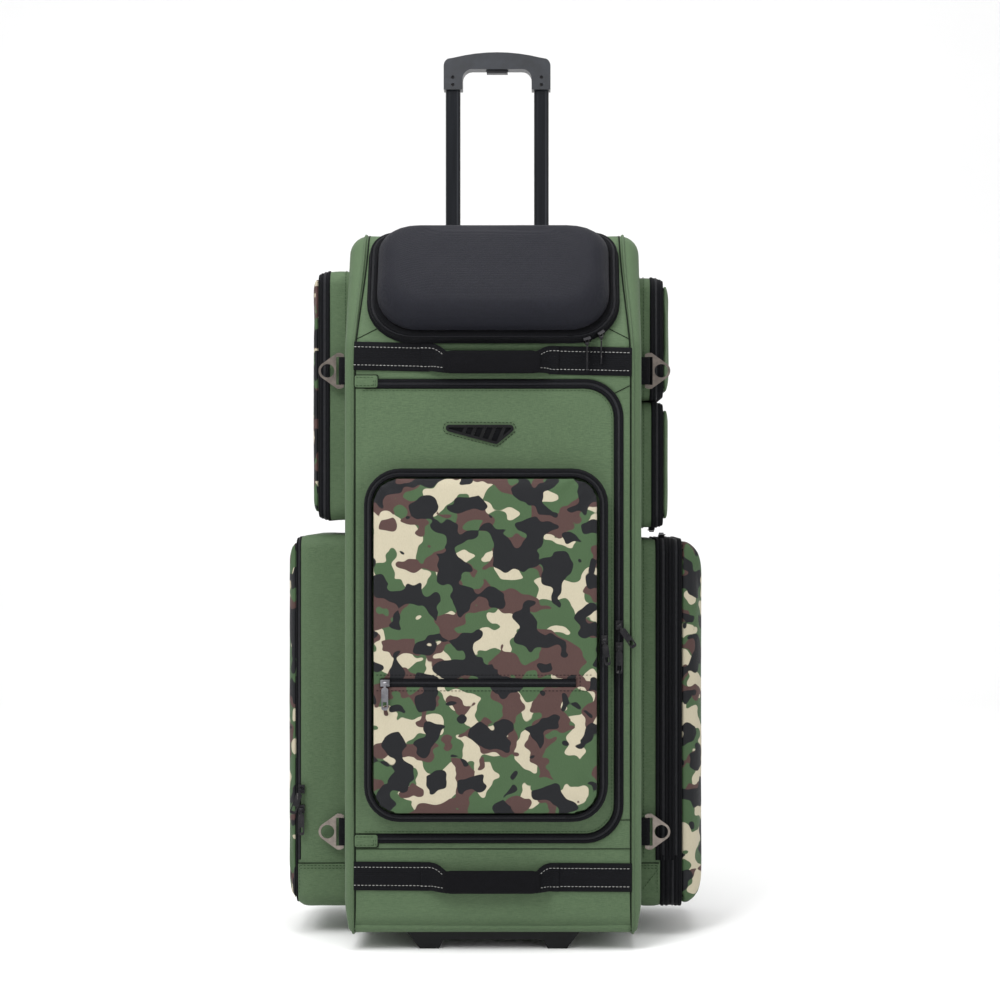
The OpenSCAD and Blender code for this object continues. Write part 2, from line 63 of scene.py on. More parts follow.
FRONT = box_mm("front_frame")[0][1]
BODY_LO = box_mm("left_side_panel")[0]
BODY_HI = box_mm("right_side_panel")[1]
TOP = box_mm("top_panel")[1][2]
BACK = box_mm("back_panel")[1][1]
BASE = BODY_LO[2]
SIDE = BODY_HI[0]
SLOPE_Z = box_mm("front_frame")[1][2] + 2
SLOPE_TOP_Y = FRONT + 80
SLOPE = math.atan2(SLOPE_TOP_Y - FRONT, TOP - SLOPE_Z)


# ---------- numbers ----------

HASH_PRIMES = np.array([374761393, 668265263, 2147483647, 1274126177])


def cols(*parts):
    """Puts columns side by side; a plain number fills its whole column."""
    n = max(len(p) for p in parts if np.ndim(p))
    return np.column_stack([p if np.ndim(p) else np.full(n, float(p)) for p in parts])


def vec(*p):
    """A point in millimetres as a Vector in metres."""
    return Vector(p) * MM


def value_noise(p, seed=0):
    """Smooth noise from -1 to 1 at the points p."""
    p = np.asarray(p, float) + seed * 17.13
    i = np.floor(p).astype(np.int64)
    f = p - i
    f = f * f * (3 - 2 * f)
    total = np.zeros(len(p))
    for corner in np.ndindex(2, 2, 2):
        h = ((i + corner) * HASH_PRIMES[:3]).sum(1)
        h = (h ^ (h >> 13)) * HASH_PRIMES[3]
        h = ((h ^ (h >> 16)) & 0xFFFF) / 0xFFFF
        total += np.where(corner, f, 1 - f).prod(1) * h
    return total * 2 - 1


def folds(p, seed, size, stretch=(1, 1, 1)):
    """Soft cloth unevenness: two octaves of noise, size in millimetres."""
    q = np.asarray(p, float) / (size * np.array(stretch))
    return 0.7 * value_noise(q, seed) + 0.3 * value_noise(q * 2.3, seed + 5)


def rounded(points, radii, closed=True, arc=9):
    """A polyline through the 2D points with its corners rounded."""
    pts = [np.array(p, float) for p in points]
    out = []
    n = len(pts)
    for i, p in enumerate(pts):
        r = radii[i]
        if r <= 0 or (not closed and i in (0, n - 1)):
            out.append(p)
            continue
        a, b = pts[i - 1] - p, pts[(i + 1) % n] - p
        a, b = a / np.linalg.norm(a), b / np.linalg.norm(b)
        half = math.acos(float(np.clip(a @ b, -1, 1))) / 2
        c = p + (a + b) / np.linalg.norm(a + b) * r / math.sin(half)
        p0, p1 = p + a * r / math.tan(half), p + b * r / math.tan(half)
        a0, a1 = math.atan2(*(p0 - c)[::-1]), math.atan2(*(p1 - c)[::-1])
        d = (a1 - a0 + math.pi) % (2 * math.pi) - math.pi
        turn = [a0 + d * k / arc for k in range(arc + 1)]
        out += [c + r * np.array([math.cos(t), math.sin(t)]) for t in turn]
    return np.array(out)


def resample(path, step, closed=False):
    p = np.asarray(path, float)
    if closed:
        p = np.vstack([p, p[:1]])
    d = np.r_[0, np.cumsum(np.linalg.norm(np.diff(p, axis=0), axis=1))]
    n = max(2, int(round(d[-1] / step)))
    s = np.linspace(0, d[-1], n + 1)
    if closed:
        s = s[:-1]
    return np.stack([np.interp(s, d, p[:, k]) for k in range(p.shape[1])], 1)


def frames(path, out, closed=False):
    """Tangent, outward normal and side vectors along a 3D path."""
    p = np.asarray(path, float)
    if closed:
        t = np.roll(p, -1, 0) - np.roll(p, 1, 0)
    else:
        t = np.gradient(p, axis=0)
    t /= np.linalg.norm(t, axis=1)[:, None]
    n = np.broadcast_to(np.asarray(out, float), p.shape).copy()
    n -= (n * t).sum(1)[:, None] * t
    n /= np.linalg.norm(n, axis=1)[:, None]
    return t, n, np.cross(t, n)


def rrect(x0, z0, x1, z1, radii, arc=8, nx=12, nz=18):
    """A rounded rectangle whose number of points doesn't depend on its size.

    The radii are those of the lower right, upper right, upper left and lower left corners."""
    r = [min(q, (x1 - x0) / 2 - 0.01, (z1 - z0) / 2 - 0.01) for q in radii]
    centres = [(x1 - r[0], z0 + r[0]), (x1 - r[1], z1 - r[1]), (x0 + r[2], z1 - r[2]), (x0 + r[3], z0 + r[3])]
    corners = []
    for k, (c, q) in enumerate(zip(centres, r)):
        turn = [math.radians(-90 + 90 * k + 90 * j / arc) for j in range(arc + 1)]
        corners.append([(c[0] + q * math.cos(a), c[1] + q * math.sin(a)) for a in turn])
    pts = []
    for k in range(4):
        pts += corners[k]
        a, b = np.array(corners[k][-1]), np.array(corners[(k + 1) % 4][0])
        m = nz if k % 2 == 0 else nx
        pts += [tuple(a + (b - a) * j / m) for j in range(1, m)]
    return np.array(pts)


# ---------- meshes ----------

def add(name, verts, faces, mats, body, slot=None, replaces=(), face_mats=None, uv=None, smooth=True):
    """Makes a mesh from points in millimetres and hangs it on a body."""
    mats = mats if isinstance(mats, (list, tuple)) else [mats]
    slot = slot or SLOT_OF.get(mats[0].name)
    data = bpy.data.meshes.new(name)
    data.from_pydata((np.asarray(verts, float) * MM).tolist(), [], [list(map(int, f)) for f in faces])
    for m in mats:
        data.materials.append(m)
    if face_mats is not None:
        data.polygons.foreach_set("material_index", np.asarray(face_mats, np.int32))
    if uv is not None:
        layer = data.uv_layers.new(name="UVMap")
        loops = np.zeros(len(data.loops), np.int32)
        data.loops.foreach_get("vertex_index", loops)
        layer.data.foreach_set("uv", np.asarray(uv, np.float32)[loops].ravel())
    data.polygons.foreach_set("use_smooth", [smooth] * len(data.polygons))
    data.validate()
    obj = bpy.data.objects.new(name, data)
    bpy.context.scene.collection.objects.link(obj)
    if body:
        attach(obj, body)
    if replaces:
        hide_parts(*replaces)
    return obj


def grid_faces(rows, count, close_cols=False, close_rows=False, skip=None, flip=False):
    """The faces of a grid of points, given as rows of count points each."""
    faces = []
    for r in range(rows if close_rows else rows - 1):
        for c in range(count if close_cols else count - 1):
            if skip is not None and skip[r, c]:
                continue
            r2, c2 = (r + 1) % rows, (c + 1) % count
            f = [r * count + c, r * count + c2, r2 * count + c2, r2 * count + c]
            faces.append(f[::-1] if flip else f)
    return faces


def face_out(obj):
    """Turns a mesh's faces to point outward."""
    bm = bmesh.new()
    bm.from_mesh(obj.data)
    bmesh.ops.recalc_face_normals(bm, faces=bm.faces)
    bm.to_mesh(obj.data)
    bm.free()
    return obj


def loft(name, rings, mats, body, replaces=(), closed=True, caps=False, **kw):
    """Skins a row of rings, or of open rows where closed is false. Caps close its two ends."""
    count = len(rings[0])
    faces = grid_faces(len(rings), count, close_cols=closed)
    if caps:
        faces += [list(range(count))[::-1], [(len(rings) - 1) * count + k for k in range(count)]]
    obj = add(name, np.vstack(rings), faces, mats, body, replaces=replaces, **kw)
    return face_out(obj) if caps else obj


def thicken(obj, thickness, lining=None):
    """Gives a sheet its thickness, inward, with another material inside."""
    m = obj.modifiers.new("thickness", "SOLIDIFY")
    m.thickness = thickness * MM
    m.offset = -1
    if lining is not None:
        obj.data.materials.append(lining)
        m.material_offset = len(obj.data.materials) - 1
        m.material_offset_rim = 0
    return obj


def sweep(name, path, out, profile, mats, body, closed=False, spans=None, close_profile=False, **kw):
    """Sweeps a cross-section of (side, height) pairs along a 3D path, with UVs in metres."""
    p = np.asarray(path, float)
    _, n, b = frames(p, out, closed)
    prof = np.asarray(profile, float)
    verts = (p[:, None] + b[:, None] * prof[None, :, :1] + n[:, None] * prof[None, :, 1:]).reshape(-1, 3)
    step = np.linalg.norm(np.diff(p, axis=0, append=p[:1]), axis=1)
    u = np.r_[0, np.cumsum(step[:-1])]
    uv = np.stack([np.repeat(u, len(prof)), np.tile(prof[:, 0], len(p))], 1) * MM
    faces = grid_faces(len(p), len(prof), close_rows=closed, close_cols=close_profile)
    per = len(prof) - (0 if close_profile else 1)
    fm = None if spans is None else [spans[i % per] for i in range(len(faces))]
    if close_profile and not closed:
        faces += [list(range(len(prof)))[::-1], [(len(p) - 1) * len(prof) + k for k in range(len(prof))]]
        fm = None if fm is None else fm + [0, 0]
    return add(name, verts, faces, mats, body, face_mats=fm, uv=uv, **kw)


def piping(name, path, out, r, lift, mat):
    """A round cord sewn along a closed path on the bag."""
    turn = [2 * math.pi * k / 8 for k in range(8)]
    profile = [(r * math.cos(a), lift + r * math.sin(a)) for a in turn]
    sweep(name, path, out, profile, mat, "bag", closed=True, close_profile=True)


def stitches(name, lines, mat, body, length=3.2, space=2.0, width=0.9, height=0.7, **kw):
    """Rows of stitches: each line is (path, outward direction, side offset, height)."""
    verts, faces = [], []
    for path, out, side, lift in lines:
        path = np.asarray(path, float)
        p = resample(path, 0.5)
        if np.ndim(out) == 2:
            walk = np.linspace(0, len(path) - 1, len(p))
            out = np.column_stack([np.interp(walk, np.arange(len(path)), out[:, c]) for c in range(3)])
        _, n, b = frames(p, out)
        p = p + b * side + n * lift
        k, every = 0, int((length + space) / 0.5)
        long = int(length / 0.5)
        while k + long < len(p):
            a, z = p[k], p[k + long]
            nn, bb = n[k], b[k]
            base = len(verts)
            mid = (a + z) / 2 + nn * height
            for q, w in ((a, 0.35), (mid, 0.5), (z, 0.35)):
                verts += [q - bb * width * w - nn * 0.3, q + nn * 0.25, q + bb * width * w - nn * 0.3]
            for s in (0, 3):
                faces += [[base + s, base + s + 1, base + s + 4, base + s + 3],
                          [base + s + 1, base + s + 2, base + s + 5, base + s + 4]]
            k += every
    return add(name, verts, faces, mat, body, **kw)


# ---------- materials ----------

def lin(code, k=1.0):
    """A hexadecimal display colour as linear values."""
    c = [int(code[i:i + 2], 16) / 255 for i in (0, 2, 4)]
    return tuple(k * (x / 12.92 if x <= 0.04045 else ((x + 0.055) / 1.055) ** 2.4) for x in c) + (1.0,)


class Shader:
    """A Principled material whose nodes are added one by one."""

    def __init__(self, name, **sockets):
        self.mat = bpy.data.materials.new(name)
        self.mat.use_nodes = True
        self.tree = self.mat.node_tree
        self.tree.nodes.clear()
        out = self.tree.nodes.new("ShaderNodeOutputMaterial")
        self.bsdf = self.tree.nodes.new("ShaderNodeBsdfPrincipled")
        self.tree.links.new(self.bsdf.outputs[0], out.inputs[0])
        for k, v in sockets.items():
            self.bsdf.inputs[k.replace("_", " ")].default_value = v
        self.where = self.node("ShaderNodeTexCoord").outputs["Object"]
        self.bump_normal = None

    def node(self, kind, inputs=None, **props):
        n = self.tree.nodes.new(kind)
        for k, v in props.items():
            setattr(n, k, v)
        for k, v in (inputs or {}).items():
            if isinstance(v, bpy.types.NodeSocket):
                self.tree.links.new(v, n.inputs[k])
            else:
                n.inputs[k].default_value = v
        return n

    def stretched(self, scale):
        return self.vector("MULTIPLY", self.where, scale)

    def noise(self, scale, detail=2.0, rough=0.5, stretch=None):
        v = self.where if stretch is None else self.stretched(stretch)
        inputs = {"Vector": v, "Scale": scale, "Detail": detail, "Roughness": rough}
        return self.node("ShaderNodeTexNoise", inputs).outputs["Fac"]

    def math(self, op, a, b=0.0, c=0.0):
        return self.node("ShaderNodeMath", {0: a, 1: b, 2: c}, operation=op).outputs[0]

    def mix(self, fac, a, b):
        n = self.node("ShaderNodeMix", {"Factor": fac}, data_type="RGBA")
        for key, v in (("A", a), ("B", b)):
            sock = [s for s in n.inputs if s.name == key and s.type == "RGBA"][0]
            if isinstance(v, bpy.types.NodeSocket):
                self.tree.links.new(v, sock)
            else:
                sock.default_value = v
        return [s for s in n.outputs if s.type == "RGBA"][0]

    def ramp(self, fac, stops):
        n = self.node("ShaderNodeValToRGB", {"Fac": fac})
        while len(n.color_ramp.elements) < len(stops):
            n.color_ramp.elements.new(0.5)
        for e, (pos, col) in zip(n.color_ramp.elements, stops):
            e.position = pos
            e.color = col if len(col) == 4 else (*col, 1)
        return n.outputs["Color"]

    def step(self, fac, at, width=0.004):
        limits = {"Value": fac, "From Min": at - width, "From Max": at + width}
        return self.node("ShaderNodeMapRange", limits).outputs[0]

    def vector(self, operation, a, b):
        key = "Scale" if operation == "SCALE" else 1
        return self.node("ShaderNodeVectorMath", {0: a, key: b}, operation=operation).outputs[0]

    def threads(self, pitch):
        """A plain weave from three crossed waves, which reads on a surface facing any way."""
        xyz = self.node("ShaderNodeSeparateXYZ", {0: self.stretched((2 * math.pi / (pitch * MM),) * 3)})
        s = [self.math("SINE", xyz.outputs[k]) for k in range(3)]
        ab = self.math("MULTIPLY", s[0], s[2])
        bc = self.math("MULTIPLY", s[1], s[2])
        ca = self.math("MULTIPLY", s[0], s[1])
        return self.math("ADD", self.math("ADD", ab, bc), ca)

    def bump(self, height, distance, strength=1.0):
        link = {"Height": height, "Distance": distance * MM, "Strength": strength}
        if self.bump_normal is not None:
            link["Normal"] = self.bump_normal
        self.bump_normal = self.node("ShaderNodeBump", link).outputs[0]
        self.tree.links.new(self.bump_normal, self.bsdf.inputs["Normal"])

    def colour(self, sock):
        self.tree.links.new(sock, self.bsdf.inputs["Base Color"])

    def rough(self, sock, low, high):
        r = self.node("ShaderNodeMapRange", {"Value": sock, "To Min": low, "To Max": high}).outputs[0]
        self.tree.links.new(r, self.bsdf.inputs["Roughness"])


def green_cloth(name="green_polyester", k=1.0):
    s = Shader(name, Sheen_Weight=0.04, Sheen_Roughness=0.4, Specular_IOR_Level=0.2)
    warp = s.noise(1.0, 1.5, 0.6, stretch=(1700, 1700, 300))
    weft = s.noise(1.0, 1.5, 0.6, stretch=(130, 1900, 1900))
    fleck = s.math("ADD", s.math("MULTIPLY", warp, 0.35), s.math("MULTIPLY", weft, 0.65))
    broad = s.step(s.noise(5.0, 3.0, 0.55), 0.5, 0.3)
    light = s.ramp(fleck, [(0.36, lin("45583f", k)), (0.5, lin("4d6046", k)), (0.64, lin("55694c", k))])
    deep = s.ramp(fleck, [(0.36, lin("3d5039", k)), (0.64, lin("4a5d43", k))])
    s.colour(s.mix(s.math("MULTIPLY", broad, 0.5), light, deep))
    s.rough(broad, 0.55, 0.72)
    s.bump(s.threads(1.1), 0.10, 0.5)
    s.bump(fleck, 0.16, 0.4)
    s.bump(s.noise(38.0, 3.0, 0.55), 0.9, 0.4)
    return s.mat


def camo_cloth():
    """Woodland camouflage: a green ground, beige islands, brown patches and a black network over them."""
    s = Shader("camo_polyester", Sheen_Weight=0.03, Sheen_Roughness=0.4, Specular_IOR_Level=0.2)

    def field(scale, offset):
        at = s.vector("ADD", s.stretched((1.0, 1.0, 1.2)), offset)
        push = s.node("ShaderNodeTexNoise", {"Vector": at, "Scale": 50.0, "Detail": 0.0}).outputs["Color"]
        push = s.vector("SCALE", s.vector("ADD", push, (-0.5, -0.5, -0.5)), 0.024)
        at = s.vector("ADD", at, push)
        return s.node("ShaderNodeTexNoise", {"Vector": at, "Scale": scale, "Detail": 0.0}).outputs["Fac"]

    black = field(29.0, (3.1, 7.7, 1.3))
    beige = field(25.0, (9.4, 2.2, 6.1))
    brown = field(27.0, (5.3, 4.1, 8.8))
    c = s.mix(s.step(beige, 0.545), lin("3f5639"), lin("b3ab95"))
    near = s.math("MULTIPLY_ADD", black, 0.45, brown)
    c = s.mix(s.step(near, 0.8), c, lin("4b3633"))
    c = s.mix(s.step(black, 0.545), c, lin("131418"))
    grain = s.noise(1.0, 1.0, 0.6, stretch=(1300, 1300, 300))
    s.colour(s.mix(s.math("MULTIPLY", s.step(grain, 0.5, 0.3), 0.12), c, lin("1c1f1a")))
    s.rough(grain, 0.55, 0.7)
    s.bump(s.threads(1.1), 0.10, 0.5)
    s.bump(s.noise(34.0, 3.0, 0.55), 0.9, 0.35)
    return s.mat


def dark_cloth(name, dark, light, pitch, ribs=None, sheen=0.02):
    s = Shader(name, Sheen_Weight=sheen, Sheen_Roughness=0.5, Specular_IOR_Level=0.08)
    fleck = s.noise(1.0, 2.0, 0.6, stretch=(700, 700, 700))
    s.colour(s.ramp(fleck, [(0.35, lin(dark)), (0.65, lin(light))]))
    s.rough(fleck, 0.6, 0.78)
    s.bump(s.threads(pitch), 0.14, 0.8)
    if ribs:
        z = s.node("ShaderNodeSeparateXYZ", {0: s.where}).outputs[2]
        s.bump(s.math("SINE", s.math("MULTIPLY", z, 2 * math.pi / (ribs * MM))), 0.18, 0.7)
    s.bump(s.noise(60.0, 2.0, 0.5), 0.4, 0.3)
    return s.mat


def zip_teeth():
    """Coil teeth: fine cross ridges along the strip, from its own UVs. The colour follows the same wave, dark
    in the gaps between teeth and lighter on their crests: painted shade and highlight.
    """
    s = Shader("zip_coil", Specular_IOR_Level=0.25)
    uv = s.node("ShaderNodeUVMap", uv_map="UVMap").outputs[0]
    parts = s.node("ShaderNodeSeparateXYZ", {0: uv})
    wave = s.math("SINE", s.math("MULTIPLY", parts.outputs[0], 2 * math.pi / (1.6 * MM)))
    # Colour follows the tooth wave: painted shade in the gaps, painted highlight on the crests.
    s.colour(s.ramp(s.math("MULTIPLY_ADD", wave, 0.5, 0.5), [(0.0, lin("050506")), (1.0, lin("2a2b30"))]))
    s.rough(s.noise(300.0), 0.38, 0.6)
    s.bump(wave, 0.45, 1.0)
    return s.mat


def foam_shell():
    s = Shader("moulded_eva_cloth", Sheen_Weight=0.03, Sheen_Roughness=0.4, Specular_IOR_Level=0.2)
    fleck = s.noise(1.0, 2.0, 0.6, stretch=(900, 900, 300))
    s.colour(s.ramp(fleck, [(0.3, lin("0b0c14")), (0.7, lin("14151f"))]))
    s.rough(s.noise(12.0), 0.52, 0.66)
    s.bump(s.threads(1.3), 0.12, 0.8)
    s.bump(s.noise(25.0, 2.0), 0.35, 0.3)
    return s.mat


def plastic(name, dark, light, rough=(0.35, 0.5), grain=0.12, spec=0.5):
    s = Shader(name, Specular_IOR_Level=spec)
    n = s.noise(45.0, 4.0, 0.6)
    s.colour(s.ramp(n, [(0.35, lin(dark)), (0.65, lin(light))]))
    s.rough(s.noise(160.0, 3.0, 0.6), *rough)
    s.bump(s.noise(1500.0, 2.0, 0.6), grain, 0.5)
    return s.mat


def metal(name, dark, light, rough=(0.25, 0.4), metallic=1.0, brushed=None, worn=0.0):
    s = Shader(name, Metallic=metallic)
    n = s.noise(1.0, 3.0, 0.6, stretch=brushed or (90, 90, 90))
    c = s.ramp(n, [(0.3, lin(dark)), (0.7, lin(light))])
    if worn:
        scratch = s.step(s.noise(1.0, 4.0, 0.7, stretch=(500, 500, 60)), 0.68, 0.05)
        c = s.mix(s.math("MULTIPLY", scratch, worn), c, lin("c9c5c0"))
    s.colour(c)
    s.rough(n, *rough)
    s.bump(n, 0.03, 0.5)
    return s.mat


GREEN = green_cloth()
CAMO = camo_cloth()
WEBBING = dark_cloth("black_webbing", "08080a", "101115", 1.6, ribs=2.6, sheen=0.03)
SLEEVE = dark_cloth("grip_sleeve_cloth", "050507", "0d0d11", 1.0)
TAPE = dark_cloth("zip_tape", "08080a", "131418", 0.9)
LINING = dark_cloth("black_lining", "0e0f10", "17181a", 1.4)
BINDING = dark_cloth("black_binding", "060608", "0f1013", 1.2)
COIL = zip_teeth()
# Dark green laid in thin strips along seams, creases and hems: painted shadow of the seams.
SEAM_SHADE = dark_cloth("green_seam_shadow", "0f150e", "182216", 0.9)
PIPING = green_cloth("green_piping", 0.85)
THREAD = dark_cloth("white_thread", "9c9c9a", "c6c6c2", 0.6, sheen=0.0)
GREEN_THREAD = dark_cloth("green_thread", "2a3b27", "3c5237", 0.6, sheen=0.0)
EVA = foam_shell()
BLACK_PLASTIC = plastic("black_moulded_plastic", "060607", "0d0e10", spec=0.2)
GRIP_PLASTIC = plastic("grip_satin_plastic", "1d1f23", "272a30", (0.32, 0.45))
BUTTON_PLASTIC = plastic("button_plastic", "141518", "202126")
RUBBER = plastic("wheel_rubber", "141414", "202020", (0.6, 0.8), 0.3, 0.3)
HUB_PLASTIC = plastic("hub_plastic", "3a3b3d", "4a4b4e")
TUBE = metal("black_anodised_tube", "1a1c20", "24262b", (0.16, 0.26), 0.7, brushed=(400, 400, 8))
PULL_METAL = metal("black_pull_metal", "1b1b1e", "2c2b2d", (0.3, 0.45), 0.75, worn=0.35)
GREY_METAL = metal("grey_pull_metal", "67676b", "8d8c90", (0.3, 0.45), 1.0, worn=0.4)
GUNMETAL = metal("gunmetal_ring", "6a635e", "8a817a", (0.24, 0.38), 1.0, worn=0.35)
STEEL = metal("steel_rod", "84858a", "b5b6ba", (0.25, 0.4), 1.0, brushed=(300, 300, 20))
SLOT_OF = {mat.name: slot for slot, mats in (("green_fabric", (GREEN, PIPING, SEAM_SHADE, GREEN_THREAD)),
                                             ("camo_fabric", (CAMO,)), ("zip_tape", (TAPE, BINDING)),
                                             ("black_webbing", (WEBBING, SLEEVE, THREAD)),
                                             ("moulded_foam", (EVA,))) for mat in mats}


# ---------- body ----------

def ease(v, a, b):
    t = np.clip((np.asarray(v, float) - a) / (b - a), 0, 1)
    return t * t * (3 - 2 * t)


REAR_CURVE = 30
CLOTH_THICK = 4.0
WHEEL_INNER, WHEEL_OUTER = 127, 173
WHEEL_FRONT, WHEEL_TOP = 92, 94
LABEL = {-1: "left", 1: "right"}
IN_FRONT = (0, -1, 0)


def edge_radius(z):
    """How far the side's rounded edge reaches: larger round the shoulder and the top, smaller at the foot."""
    return 14 + 13 * ease(z, 780, TOP) - 6 * ease(-z, -70, -BASE)


def half_width(z):
    return SIDE - 5 * ease(-z, -70, -BASE)


def with_points(path, marks):
    """Adds points to a polyline where it crosses the given (axis, value) marks."""
    out = [path[0]]
    for a, b in zip(path[:-1], path[1:]):
        cuts = [(value - a[axis]) / (b[axis] - a[axis]) for axis, value in marks
                if (a[axis] - value) * (b[axis] - value) < 0]
        out += [a + (b - a) * t for t in sorted(cuts)] + [b]
    return np.array(out)


# The body's side view as (y, z), starting low on the front and going up, back and under.
PROFILE = rounded([(FRONT, BASE), (FRONT, SLOPE_Z), (SLOPE_TOP_Y, TOP), (BACK, TOP), (BACK, BASE)],
                  [12, 30, 34, REAR_CURVE, 12])
PROFILE = PROFILE[np.linalg.norm(PROFILE - np.roll(PROFILE, 1, 0), axis=1) > 0.01]
START = int(np.argmin(np.abs(PROFILE[:, 0] - FRONT) + np.abs(PROFILE[:, 1] - (BASE + 12))))
PROFILE = np.roll(PROFILE, -START, 0)
LOOP = resample(np.vstack([PROFILE, PROFILE[:1]]), 9.0)[:-1]


def profile_normals(loop, closed=True):
    t = (np.roll(loop, -1, 0) - np.roll(loop, 1, 0)) if closed else np.gradient(loop, axis=0)
    t /= np.linalg.norm(t, axis=1)[:, None]
    return np.stack([-t[:, 1], t[:, 0]], 1)


def stretch_of(test, marks=()):
    """The part of the body's side view where test(y, z) holds, as an open path, with its outward normals."""
    fine = resample(np.vstack([PROFILE, PROFILE[:1]]), 1.0)[:-1]
    keep = np.array([test(*p) for p in fine])
    first = int(np.argmax(keep & ~np.roll(keep, 1)))
    keep, fine = np.roll(keep, -first), np.roll(fine, -first, 0)
    end = len(keep) if keep.all() else int(np.argmin(keep))
    path = with_points(resample(fine[:end], 7.0), marks)
    return path, profile_normals(path, closed=False)


def strip(name, test, replaces, columns=None, marks=(), hole=None, sag=1.4, seed=1):
    """A panel of the body between its two side seams."""
    path, normals = stretch_of(test, marks)
    rows, row_normals, room = [], [], []
    for (y, z), (ny, nz) in zip(path, normals):
        s = half_width(z) - edge_radius(z)
        xs = np.linspace(-s, s, 43) if columns is None else np.array([-s] + columns + [s])
        rows.append(cols(xs, y, z))
        row_normals.append(cols(0 * xs, ny, nz))
        room.append(s - np.abs(xs))
    count = len(rows[0])
    pts = np.vstack(rows)
    calm = np.minimum(1, np.concatenate(room) / 25)
    pts = pts - np.vstack(row_normals) * (sag * (0.5 + 0.5 * folds(pts, seed, 70)) * calm)[:, None]
    skip = None
    if hole:
        mid = pts.reshape(len(rows), count, 3)
        mid = (mid[:-1, :-1] + mid[1:, 1:]) / 2
        skip = np.zeros((len(rows), count), bool)
        skip[:-1, :-1] = np.vectorize(hole)(mid[..., 0], mid[..., 1], mid[..., 2])
    obj = add(name, pts, grid_faces(len(rows), count, skip=skip), GREEN, "bag", None, replaces)
    return thicken(obj, CLOTH_THICK, LINING)


def side_panel(side, name):
    """A padded side: a rounded edge that runs on from the seam, then nearly flat cloth."""
    loop, normals = LOOP, profile_normals(LOOP)
    z = loop[:, 1]
    r, w = edge_radius(z), half_width(z)
    rings = []
    for a in np.radians(np.linspace(0, 90, 8)):
        p = loop - normals * (r * (1 - math.cos(a)))[:, None]
        rings.append(cols(w - r + r * math.sin(a), p))
    edge = rings[-1]
    centre = np.array([SIDE, (FRONT + BACK) / 2, 500])
    for k in range(1, 16):
        t = k / 16
        ring = edge + (centre - edge) * t
        ring[:, 0] = edge[:, 0] + (SIDE - edge[:, 0]) * min(1, t * 6)
        ring[:, 0] -= (0.9 + 0.9 * folds(ring, 3 + side, 55)) * min(1, t * 8)
        rings.append(ring)
    pts = np.vstack(rings + [centre[None] - [1, 0, 0]])
    pts[:, 0] *= side
    n = len(loop)
    faces = grid_faces(len(rings), n, close_cols=True, flip=side > 0)
    tip = len(pts) - 1
    base = (len(rings) - 1) * n
    faces += [[base + k, base + (k + 1) % n, tip][::-1 if side > 0 else 1] for k in range(n)]
    obj = add(f"{name}_cloth", pts, faces, GREEN, "bag", replaces=[name])
    thicken(obj, CLOTH_THICK, LINING)


def side_seam(side):
    """The piping round the edge of a side, with a dark strip beside it: painted shade in the crease."""
    loop, normals = LOOP, profile_normals(LOOP)
    z = loop[:, 1]
    s = half_width(z) - edge_radius(z)
    out = cols(0, normals)
    name = LABEL[side]
    a = math.radians(9)
    r = edge_radius(z)
    p = loop - normals * (r * (1 - math.cos(a)))[:, None]
    cord = cols(side * (s + r * math.sin(a)), p)
    piping(f"{name}_side_piping", cord, out, 2.1, 0.5, PIPING)
    crease = cols(side * (s - 0.8), loop)
    sweep(f"{name}_side_crease_shade", crease, out, [(-1.3, -0.4), (-0.9, 0.35), (0.9, 0.35), (1.3, -0.4)], SEAM_SHADE,
          "bag", closed=True)


WHEEL_EDGES = {-WHEEL_OUTER, -WHEEL_INNER, WHEEL_INNER, WHEEL_OUTER}
COLUMNS = sorted(WHEEL_EDGES | set(range(-160, 161, 10)))


def wheel_room(x, y, z):
    return WHEEL_INNER < abs(x) < WHEEL_OUTER and y > WHEEL_FRONT and z < WHEEL_TOP


def front_frame():
    """The front's cloth edge round the flap's zip."""
    z0, z1 = BASE + 12, SLOPE_Z - 12
    zips, flap = box_mm("flap_zip"), box_mm("flap_panel")
    window = rrect(flap[0][0] - 1, zips[0][2], zips[1][0], zips[1][2], [52, 52, 3, 3], nx=24, nz=40)
    s = SIDE - 14
    outer = rrect(-s, z0, s, z1, [0.5] * 4, nx=24, nz=40)
    w0 = half_width(outer[:, 1]) - edge_radius(outer[:, 1])
    outer[:, 0] = np.clip(outer[:, 0], -w0, w0)
    rings = []
    for t in np.linspace(0, 1, 9):
        ring = window + (outer - window) * t
        sag = 0.5 + 0.5 * folds(cols(ring[:, 0], 0, ring[:, 1]), 8, 60)
        y = FRONT + 0.2 + 1.2 * sag * min(1, 5 * (1 - t)) * min(1, 4 * t)
        rings.append(cols(ring[:, 0], y, ring[:, 1]))
    hem = rings[0].copy()
    hem[:, 1] += 3
    faces = grid_faces(len(rings) + 1, len(window), close_cols=True, flip=True)
    obj = add("front_frame_cloth", np.vstack([hem] + rings), faces, GREEN, "bag", replaces=["front_frame"])
    thicken(obj, 3.0, LINING)


def on_front(points, lift):
    return np.array([[x, FRONT - lift, z] for x, z in points], float)


def front_at(y):
    """Places points (x, z, height) on the plane y, with their height toward the front."""
    return lambda p: cols(p[:, 0], y - p[:, 2], p[:, 1])


# A thin dark strip along a seam: painted shadow in the seam.
def seam_shade_line(name, path, out, width=1.1):
    w = width / 2
    sweep(name, path, out, [(-w, -0.3), (-w * 0.6, 0.25), (w * 0.6, 0.25), (w, -0.3)], SEAM_SHADE, "bag")


# ---------- pads ----------

